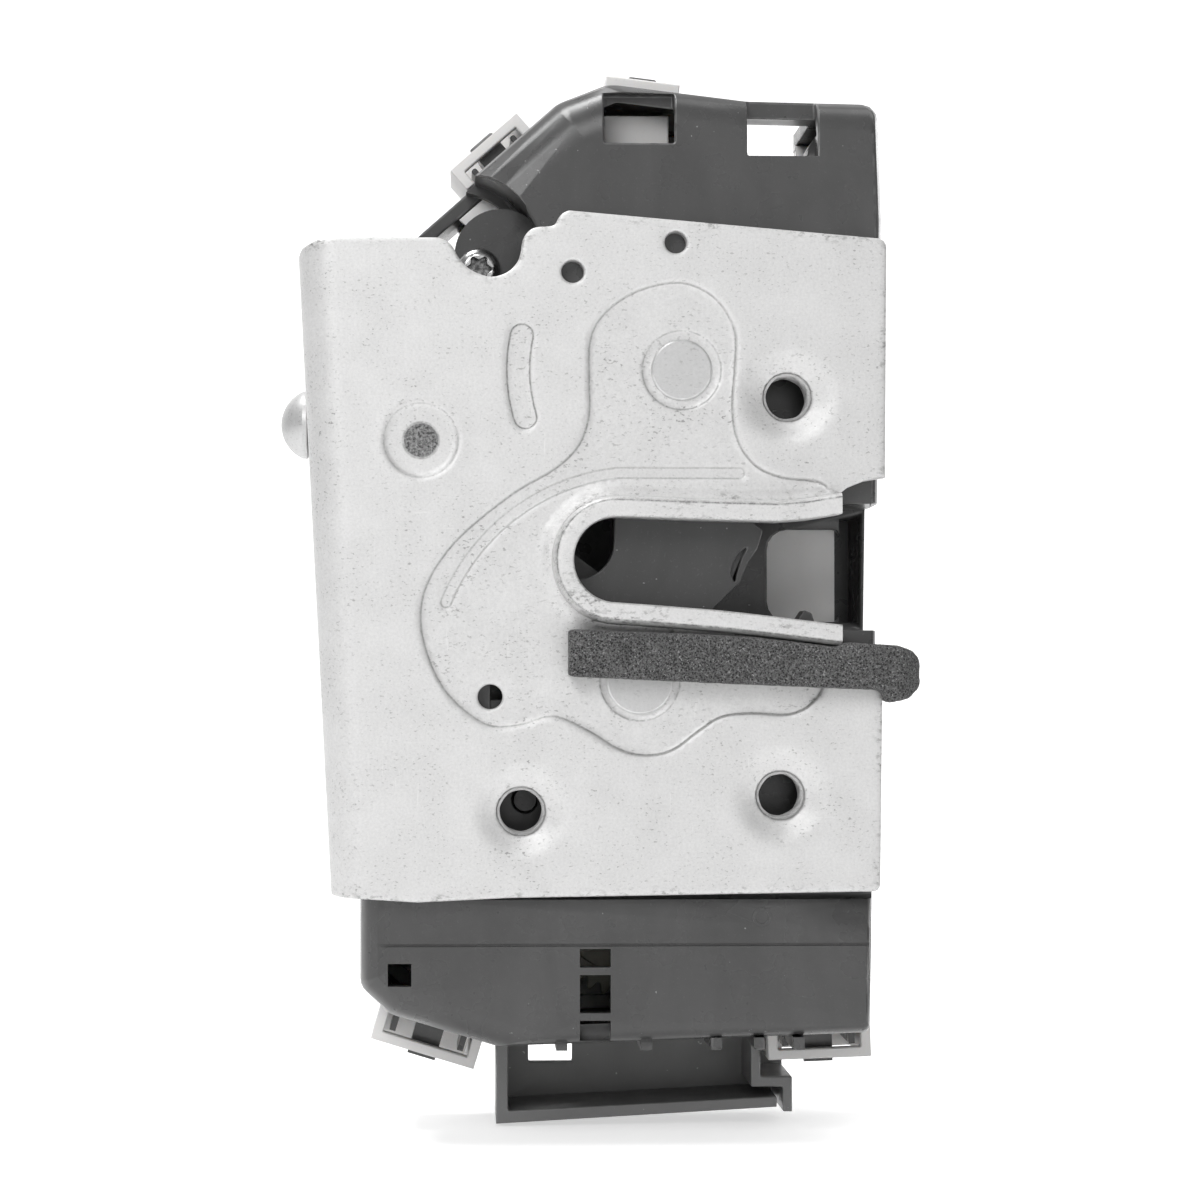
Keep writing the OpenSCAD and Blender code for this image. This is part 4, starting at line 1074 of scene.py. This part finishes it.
    def place(self, p: Point, depth: float) -> Vector:
        """Where a point of the flat blank lies once the flange is bent.

        Args:
            p: The point on the flat blank.
            depth: Its depth under the outer face.

        Returns:
            Its place in X, Y and Z.
        """
        s, c = math.sin(math.radians(self.flange_slant)), math.cos(math.radians(self.flange_slant))
        across, along = p[0] * c + p[1] * s, -p[0] * s + p[1] * c
        start = self.flat_x(0)
        if across >= start:
            return Vector((p[0], depth, p[1]))
        run = start - across
        turn = min(math.pi / 2, run / (self.bend - self.thickness / 2))
        rest = max(0.0, run - self.bend_length())
        radius = self.bend - depth
        across = start - radius * math.sin(turn)
        y = self.bend - radius * math.cos(turn) + rest
        x, z = self.unroll(across, along)
        return Vector((x, y, z))

    def shape(self, p: Point) -> tuple[float, float, float]:
        """Depth of the outer face at a point of the blank, how much painted shade it gets and how worn it
        is.
        """
        (y, painted_shade), *narrow = (pressing.shape(p) for pressing in self.struck)
        near = self.slot.near(p)
        y *= step(near, self.rim + 0.2, self.rim + 2.4)
        painted_shade *= step(near, self.rim + 0.6, self.rim + 1.6)
        for more, dark in narrow:
            y += more
            painted_shade = max(painted_shade, dark)
        for centre, r, dark in self.rings():
            painted_shade = max(painted_shade, dark * (1 - step(abs(math.dist(p, centre) - r), 0.0, 0.2)))
        start, full, last, end, depth = self.ring_groove
        for centre in (self.catch_at, self.pawl_at):
            ring = math.dist(p, centre)
            y += depth * step(ring, start, full) * (1 - step(ring, last, end))
        ring = math.dist(p, self.lever_at)
        low, high, depth = self.lever_pan
        crest, half, foot, height = self.lever_ridge
        y += depth * (1 - step(ring, low, high)) - height * (1 - step(abs(ring - crest), half, foot))
        # painted shade in a ring where the lever rivet's head meets its pan
        painted_shade = max(painted_shade, 0.6 * (1 - step(abs(ring - 2.9), 0.0, 0.3)))
        low, high, depth = self.funnel
        for centre in self.screws:
            y += depth * (1 - step(math.dist(p, centre), low, high)) ** 1.5
        border = min([self.edge.near(p)] + [h.near(p) for h in self.hole_edges])
        if border < self.edge_round:
            y += self.edge_drop * (1 - math.sqrt(max(0.0, 1 - (1 - border / self.edge_round) ** 2)))
        return y, painted_shade, 1 - step(min(self.edge.near(p), near - self.rim), 0.2, 1.8)

    def shaped_points(self) -> list[Point]:
        """Points on the blank close together where its surface rises, falls or changes its looks."""
        points = [q for pressing in self.struck for q in pressing.points() if self.edge.signed(q) > 0.4]
        circles = [(centre, r + d, 64) for centre, r, _ in self.rings() for d in (-0.2, 0.0, 0.2, 0.6)]
        circles += [(self.lever_at, r, 48) for r in (2.6, 2.9, 3.2, 5.4, 7.0)]
        circles += [(centre, r, 40) for r in (4.3, 4.8, 5.4, 6.2, 7.2, 8.4) for centre in self.screws]
        for centre, r, steps in circles:
            points.extend(arc(centre, r, 0, 360, steps)[:-1])
        for d in (0.3, 0.9, 1.6, 2.4):
            line = offset(resample(self.slot_path(), 0.8, False), -(self.rim + d), False)
            points.extend(q for q in line if self.edge.signed(q) > 0.4 and q[0] < self.rim_end)
        for d in (0.15, 0.45):
            points.extend(q for q in offset(self.blank, d) if self.edge.signed(q) > 0.1)
            for hole in self.openings:
                points.extend(offset(hole, -d))
        return points

    def even_points(self) -> list[Point]:
        """Points in slightly scattered rows that fill the rest of the blank."""
        points: list[Point] = []
        low, high = self.edge.low, self.edge.high
        row = self.spacing * math.sqrt(3) / 2
        random_part, most = random.Random(7), self.scatter
        for j in range(int((high[1] - low[1]) / row) + 1):
            for i in range(int((high[0] - low[0]) / self.spacing) + 1):
                q = (low[0] + (i + 0.5 * (j % 2)) * self.spacing + random_part.uniform(-most, most),
                     low[1] + j * row + random_part.uniform(-most, most))
                if self.edge.near(q) > 0.7 and all(area.edge.near(q) > 0.55 for area in self.struck):
                    points.append(q)
        return points

    def triangles(self) -> tuple[list[Point], list[list[int]]]:
        """The flat blank's points, and its triangles as numbers of points."""
        points: list[Point] = []
        edges: list[tuple[int, int]] = []
        for loop in [self.blank] + self.openings:
            first = len(points)
            points.extend(loop)
            edges.extend((first + i, first + (i + 1) % len(loop)) for i in range(len(loop)))
        points += self.shaped_points() + self.even_points()
        verts, _, faces, *_ = delaunay_2d_cdt([Vector(p) for p in points], edges, [], 0, 1e-4)
        flat = [(v.x, v.y) for v in verts]
        kept = []
        for face in faces:
            middle = tuple(sum(flat[i][k] for i in face) / 3 for k in (0, 1))
            if self.edge.inside(middle) and not any(h.inside(middle) for h in self.hole_edges):
                kept.append(face)
        return flat, kept

    def build(self) -> bpy.types.Object:
        """Builds the plate from a fine triangulation of its flat blank.

        Returns:
            The plate.
        """
        flat, kept = self.triangles()
        mesh = bmesh.new()
        shade_layer = mesh.verts.layers.float.new("painted_shade")
        worn_layer = mesh.verts.layers.float.new("worn")
        shapes = [self.shape(p) for p in flat]
        outer = [mesh.verts.new(self.place(p, y)) for p, (y, _, _) in zip(flat, shapes)]
        inner = [mesh.verts.new(self.place(p, self.thickness + 0.7 * min(y, 0.9) * (y > 0.05)))
                 for p, (y, _, _) in zip(flat, shapes)]
        for v, (_, shaded, worn) in zip(outer, shapes):
            v[shade_layer] = shaded
            v[worn_layer] = worn
        count: dict[tuple[int, int], int] = {}
        for f in kept:
            mesh.faces.new([outer[i] for i in f])
            mesh.faces.new([inner[i] for i in reversed(f)])
            for a, b in zip(f, f[1:] + f[:1]):
                count[(a, b)] = 1
        for a, b in count:
            if (b, a) not in count:
                mesh.faces.new((outer[b], outer[a], inner[a], inner[b]))
        loose = [v for v in mesh.verts if not v.link_faces]
        bmesh.ops.delete(mesh, geom=loose, context="VERTS")
        self.add_rim(mesh)
        for centre in self.screws:
            self.add_thread(mesh, centre)
        bmesh.ops.recalc_face_normals(mesh, faces=mesh.faces)
        return object_from("pressed_plate", mesh, 50)

    def add_rim(self, mesh: Mesh) -> None:
        """Adds the rim that is bent out round the slot, with its rounded corner and sheared face."""
        path = resample(self.slot_path(), 1.1, closed=False)
        shaded = dict(self.rim_shade)
        rings = []
        count = len(path)
        sides = offset(path, 1.0, closed=False)
        for i, (p, q) in enumerate(zip(path, sides)):
            out = (p[0] - q[0], p[1] - q[1])
            if i in (0, count - 1):
                out = (0.0, math.copysign(1.0, p[1]))
            rings.append([Vector((p[0] + out[0] * d, y, p[1] + out[1] * d)) for d, y in self.rim_profile])
        painted_shade = mesh.verts.layers.float["painted_shade"]
        worn = mesh.verts.layers.float["worn"]
        for row in sweep(mesh, rings, caps=True):
            wear = 0.7 + 0.9 * (1 - step(row[0].co.x, 1.0, 9.0))
            for i, v in enumerate(row):
                # painted shade on the rim's rounded corners
                v[painted_shade] = shaded.get(i, 0.0)
                v[worn] = wear if 1 <= i <= 11 else 0.0

    def add_thread(self, mesh: Mesh, centre: Point) -> None:
        """Adds a collar drawn out behind the plate, with its thread.

        Args:
            mesh: The plate's mesh.
            centre: The hole's centre in X and Z.
        """
        pitch, turn_steps, rows = 1.25, 40, 48
        start, end = 1.35, self.collar_depth
        rings = []
        for k in range(rows + 1):
            y = start + (end - start) * k / rows
            fade = step(k / rows, 0.0, 0.08) * step(1 - k / rows, 0.0, 0.05)
            ring = []
            for i in range(turn_steps):
                phase = (y / pitch + i / turn_steps) % 1.0
                tooth = 0.55 * (1 - abs(2 * phase - 1)) * fade + 0.5 * (1 - fade)
                q = polar(centre, self.thread_r + tooth, 360 * i / turn_steps)
                ring.append(Vector((q[0], y, q[1])))
            rings.append(ring)
        for radius, y in ((self.collar_r - 0.4, end), (self.collar_r, end - 0.4), (self.collar_r, 2.8)):
            rings.append([Vector((q[0], y, q[1])) for q in arc(centre, radius, 0, 360, turn_steps)[:-1]])
        sweep(mesh, rings)

    def dress(self) -> bpy.types.Object:
        """Builds the plate, gives it its finish and sets it in place of the CAD plate."""
        piece = self.build()
        PALETTE.put(piece, Finish.ZINC)
        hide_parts("latch_plate")
        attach(piece, "case")
        LOG.info("%s: %d faces", piece.name, len(piece.data.polygons))
        return piece


@dataclass
class FoamStrip:
    """The foam strip over the plate: its cut edges are soft and its surface is uneven.

    Attributes:
        node: The CAD node that it stands for.
        voxel: Size of the cells that its mesh is rebuilt from, in millimetres.
    """

    node: str = "foam_seal"
    voxel: float = 0.6

    def build(self) -> bpy.types.Object:
        """Builds the strip from the CAD solid, softened and roughened.

        Returns:
            The strip.
        """
        mesh = node_mesh(self.node)
        bmesh.ops.scale(mesh, vec=(1 / MM,) * 3, verts=mesh.verts)
        piece = object_from("foam_strip", mesh)
        cells = piece.modifiers.new("cells", "REMESH")
        cells.mode = "VOXEL"
        cells.voxel_size = self.voxel * MM
        soft = piece.modifiers.new("soft", "SMOOTH")
        soft.factor = 0.5
        soft.iterations = 6
        apply_modifiers(piece)
        rough = random.Random(11)
        low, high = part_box(self.node)
        for v in piece.data.vertices:
            v.co += v.normal * rough.uniform(-0.09, 0.05) * MM
            v.co = Vector(min(max(v.co[k], low[k]), high[k]) for k in range(3))
        piece.data.shade_smooth()
        return piece

    def dress(self) -> bpy.types.Object:
        """Builds the strip, gives it its finish and sets it in place of the CAD strip."""
        piece = self.build()
        PALETTE.put(piece, Finish.FOAM)
        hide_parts(self.node)
        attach(piece, "case")
        LOG.info("%s: %d faces", piece.name, len(piece.data.polygons))
        return piece


@dataclass
class Screws:
    """The cover's screws, each with a domed washer head and a six-lobed socket.

    Attributes:
        node: The CAD node that they stand for; each of its solids gives one screw its place and size.
        socket_r: Middle radius of the socket in millimetres.
        lobe: How far its lobes reach in and out.
        socket_depth: Its depth.
        thread_depth: Depth of the thread on the shank.
        half_pitch: Distance from a crest of the thread to the next root.
    """

    node: str = "cover_screws"
    socket_r: float = 1.75
    lobe: float = 0.28
    socket_depth: float = 1.5
    thread_depth: float = 0.22
    half_pitch: float = 0.45

    def solids(self) -> list[list[Vector]]:
        """The points of each of the node's solids, in millimetres."""
        mesh = node_mesh(self.node)
        left = set(mesh.verts)
        found: list[list[Vector]] = []
        for first in mesh.verts:
            if first not in left:
                continue
            left.remove(first)
            group = [first]
            for v in group:
                near = [e.other_vert(v) for e in v.link_edges if e.other_vert(v) in left]
                left.difference_update(near)
                group.extend(near)
            found.append([v.co / MM for v in group])
        mesh.free()
        return found

    def add(self, mesh: Mesh, points: list[Vector]) -> None:
        """Adds one screw where the points of its CAD solid are.

        Args:
            mesh: The mesh that gets the screw.
            points: The solid's points in millimetres.
        """
        low = [min(p[k] for p in points) for k in range(3)]
        high = [max(p[k] for p in points) for k in range(3)]
        centre = ((low[0] + high[0]) / 2, (low[2] + high[2]) / 2)
        head_r = (high[0] - low[0]) / 2
        wide = [p.y for p in points if math.dist((p.x, p.z), centre) > 0.8 * head_r]
        front = min(wide) - low[1] < high[1] - max(wide)
        face, under, tip = (low[1], max(wide), high[1]) if front else (high[1], min(wide), low[1])
        inward = 1.0 if front else -1.0
        shank = min(math.dist((p.x, p.z), centre) for p in points if abs(p.y - tip) < 0.01 and
                    math.dist((p.x, p.z), centre) > 0.5)
        lobes = [(self.socket_r * 0.55, self.socket_depth), (self.socket_r, self.socket_depth),
                 (self.socket_r, 0.2), (self.socket_r + 0.15, 0.05)]
        length, height = abs(tip - face), abs(under - face)
        plain = [(self.socket_r + 0.5, 0.0), (head_r - 0.9, 0.12), (head_r - 0.35, 0.55), (head_r, 1.05),
                 (head_r, height - 0.12), (head_r - 0.12, height), (shank, height)]
        thread = [(shank - (self.thread_depth if k % 2 else 0.0), height + 0.4 + self.half_pitch * k)
                  for k in range(int((length - height - 1.2) / self.half_pitch))]
        rings = []
        painted_shade = mesh.verts.layers.float["painted_shade"]
        for k, (r, depth) in enumerate(lobes + plain + thread + [(shank - 0.5, length)]):
            wave = self.lobe if k < len(lobes) else 0.0
            ring = []
            for turn in range(0, 360, 5):
                q = polar(centre, r + wave * math.cos(math.radians(6 * turn)), turn)
                ring.append(Vector((q[0], face + inward * depth, q[1])))
            rings.append(ring if inward < 0 else ring[::-1])
        # painted shade inside the six-lobed socket
        for row in sweep(mesh, rings, caps=True)[:3]:
            for v in row:
                v[painted_shade] = 1.0

    def dress(self) -> bpy.types.Object:
        """Builds the screws, gives them their finish and sets them in place of the node."""
        mesh = bmesh.new()
        mesh.verts.layers.float.new("painted_shade")
        for points in self.solids():
            self.add(mesh, points)
        bmesh.ops.recalc_face_normals(mesh, faces=mesh.faces)
        piece = object_from("socket_screws", mesh, 35)
        PALETTE.put(piece, Finish.SCREW)
        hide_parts(self.node)
        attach(piece, "case")
        LOG.info("%s: %d faces", piece.name, len(piece.data.polygons))
        return piece


@dataclass
class CarriedNode:
    """A CAD node whose own mesh stays, with a finish.

    Attributes:
        node: The node's name.
        finish: Its finish.
    """

    node: str
    finish: Finish

    def dress(self) -> None:
        """Gives the node its finish."""
        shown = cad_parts[self.node]
        shown.data.materials.clear()
        shown.data.materials.append(PALETTE.get(self.finish))
        LOG.info("%s: %s", self.node, self.finish.value.name)


# Studio

@dataclass(frozen=True)
class Lamp:
    """A soft box that lights the lock.

    Attributes:
        name: Its name.
        place: Where it stands, in metres.
        size: Its width in metres.
        power: Its power in watts.
    """

    name: str
    place: Place
    size: float
    power: float

    def build(self) -> None:
        """Adds the lamp, aimed at the lock."""
        light = bpy.data.lights.new(self.name, "AREA")
        light.shape = "DISK"
        light.size = self.size
        light.energy = self.power
        aimed_object(self.name, light, Vector(self.place), Vector())


@dataclass
class Studio:
    """A pale floor that curves up behind the lock, soft lamps and the camera.

    Attributes:
        eye: The camera's place in millimetres.
        target: What it looks at, in millimetres.
        lens: Its focal length in millimetres.
        sensor: Its sensor's width in millimetres.
        surround: Strength of the light from all round.
        floor_glow: Strength of the floor's white, which only the camera and reflections see.
        lamps: The lamps.
    """

    eye: Place = (-26.129, -560.0, -16.613)
    target: Place = (-2.587, 0.0, -6.464)
    lens: float = 104.16
    sensor: float = 36.0
    surround: float = 0.3
    floor_glow: float = 0.55
    lamps: tuple[Lamp, ...] = (
        Lamp("key", (-0.28, -0.8, 0.48), 0.5, 3.7),
        Lamp("side", (-0.32, 0.02, 0.79), 0.34, 5.4),
        Lamp("front", (0.15, -0.95, 0.14), 0.36, 0.3),
        Lamp("top", (0.3, 0.1, 0.85), 0.5, 1.0),
        Lamp("back", (0.5, 0.6, 0.3), 0.5, 1.5))

    def camera(self) -> None:
        """Adds the camera at the photograph's place."""
        data = bpy.data.cameras.new("camera")
        data.lens = self.lens
        data.sensor_width = self.sensor
        data.clip_start = 0.01
        camera = aimed_object("camera", data, Vector(self.eye) * MM, Vector(self.target) * MM)
        bpy.context.scene.camera = camera

    def floor(self) -> None:
        """Adds the pale floor and its curved backdrop, white to the camera and to reflections."""
        low = CAD_BOX[0][2] - 0.0005
        profile = [(-1.2, low), (0.6, low)]
        profile += [(0.6 + 0.4 * math.sin(a), low + 0.4 * (1 - math.cos(a)))
                    for a in (math.radians(d) for d in range(6, 91, 6))]
        profile += [(1.0, 1.6)]
        mesh = bmesh.new()
        edges = [[Vector((x / MM, y / MM, z / MM)) for y, z in profile] for x in (-1.6, 1.6)]
        sweep(mesh, edges, closed_ring=False)
        floor = object_from("floor", mesh, 60)
        g = Graph("studio_floor")
        path = g.add("LightPath")
        seen = g.math("MAXIMUM", path.outputs["Is Camera Ray"], path.outputs["Is Glossy Ray"])
        seen = g.math("MAXIMUM", seen, path.outputs["Is Transmission Ray"])
        g.feed(Base_Color=(0.86, 0.86, 0.86, 1.0), Roughness=0.85, Emission_Color=(1.0, 1.0, 1.0, 1.0),
               Emission_Strength=g.math("MULTIPLY", seen, self.floor_glow))
        floor.data.materials.append(g.material)

    def world(self) -> None:
        """Sets the soft light from all round, which the camera sees as white."""
        world = bpy.data.worlds.new("studio")
        world.use_nodes = True
        nodes, links = world.node_tree.nodes, world.node_tree.links
        background = nodes["Background"]
        background.inputs["Color"].default_value = (1.0, 1.0, 1.0, 1.0)
        path = nodes.new("ShaderNodeLightPath")
        strength = nodes.new("ShaderNodeMath")
        strength.operation = "MULTIPLY_ADD"
        strength.inputs[1].default_value = 1.0 - self.surround
        strength.inputs[2].default_value = self.surround
        links.new(path.outputs["Is Camera Ray"], strength.inputs[0])
        links.new(strength.outputs[0], background.inputs["Strength"])
        bpy.context.scene.world = world

    def build(self) -> None:
        """Builds the whole studio."""
        bpy.context.scene.view_settings.view_transform = "Standard"
        self.camera()
        self.floor()
        self.world()
        for lamp in self.lamps:
            lamp.build()


# Gap through the top wall and the cover behind the right window, which lets light through
TOP_GAP: Box = ((22.1, 20.0, 66.3), (33.0, 46.0, 82.0))
# Hollow in the channel's right end, dark behind the slot's mouth
MOUTH_POCKET: Box = ((38.9, 24.0, -9.8), (42.2, 40.0, 7.8))
# Shallow step in the bottom block, which leaves a dark line under the plate
PLATE_GAP: Box = ((-37.5, 3.0, -55.0), (42.3, 5.0, -53.6))


@dataclass
class DoorLock:
    """The whole lock: the pieces with shapes of their own and the rounded or carried CAD nodes."""

    plate: LatchPlate = field(default_factory=LatchPlate)
    foam: FoamStrip = field(default_factory=FoamStrip)
    screws: Screws = field(default_factory=Screws)
    rounded: tuple[RoundedNode, ...] = (
        RoundedNode("catch_rivet", "case", Finish.PIN, 0.3),
        RoundedNode("pawl_rivet", "case", Finish.PIN, 0.3),
        RoundedNode("lever_rivet", "case", Finish.DARK_PIN, 0.3),
        RoundedNode("flange_rivet", "case", Finish.PIN, 0.2),
        RoundedNode("back_plate", "case", Finish.FORGED, 0.25),
        RoundedNode("front_housing", "case", Finish.BLACK, 0.35, cuts=(TOP_GAP, MOUTH_POCKET, PLATE_GAP)),
        RoundedNode("rear_cover", "case", Finish.COVER, 0.25, cuts=(TOP_GAP,)),
        RoundedNode("guide_bracket", "case", Finish.BLACK_PAINTED_LIGHT, 0.3),
        RoundedNode("connector_socket", "case", Finish.BLACK, 0.4),
        RoundedNode("terminals", "case", Finish.TIN, 0.1),
        RoundedNode("bump_stop", "case", Finish.RUBBER, 0.4),
        RoundedNode("motor", "case", Finish.PIN, 0.5),
        RoundedNode("motor_pinion", "pinion", Finish.BRASS, 0.06),
        RoundedNode("drive_wheel", "wheel", Finish.GEAR, 0.1),
        # painted shade: the steel pins take the dark forged finish so that they match the shade in the
        # holes
        RoundedNode("gear_pins", "case", Finish.FORGED, 0.2),
        RoundedNode("lock_lever", "lock", Finish.GEAR, 0.15),
        RoundedNode("catch_core", "catch", Finish.FORGED, 0.25),
        RoundedNode("catch_sleeve", "catch", Finish.JACKET, 0.25),
        RoundedNode("pawl_core", "pawl", Finish.FORGED, 0.25),
        RoundedNode("pawl_sleeve", "pawl", Finish.JACKET, 0.25),
        RoundedNode("release_lever", "release", Finish.PRESSED, 0.25),
        RoundedNode("outside_lever", "outside", Finish.PRESSED, 0.25),
        RoundedNode("rod_clip", "outside", Finish.CLIP, 0.2),
        RoundedNode("inside_lever", "inside", Finish.PRESSED, 0.25),
        RoundedNode("inside_pin", "case", Finish.PIN, 0.2),
        RoundedNode("ajar_switch", "case", Finish.BLACK, 0.2),
        RoundedNode("switch_plunger", "plunger", Finish.JACKET, 0.25))
    carried: tuple[CarriedNode, ...] = (
        CarriedNode("catch_spring", Finish.SPRING),
        CarriedNode("pawl_spring", Finish.SPRING),
        CarriedNode("outside_spring", Finish.SPRING))

    def build(self) -> None:
        """Builds and dresses every piece."""
        for piece in (self.plate, self.foam, self.screws, *self.rounded, *self.carried):
            piece.dress()


def main() -> None:
    """Builds the studio and the lock."""
    logging.basicConfig(level=logging.INFO, format="%(name)s %(message)s")
    Studio().build()
    DoorLock().build()


if __name__ == "__main__":
    main()
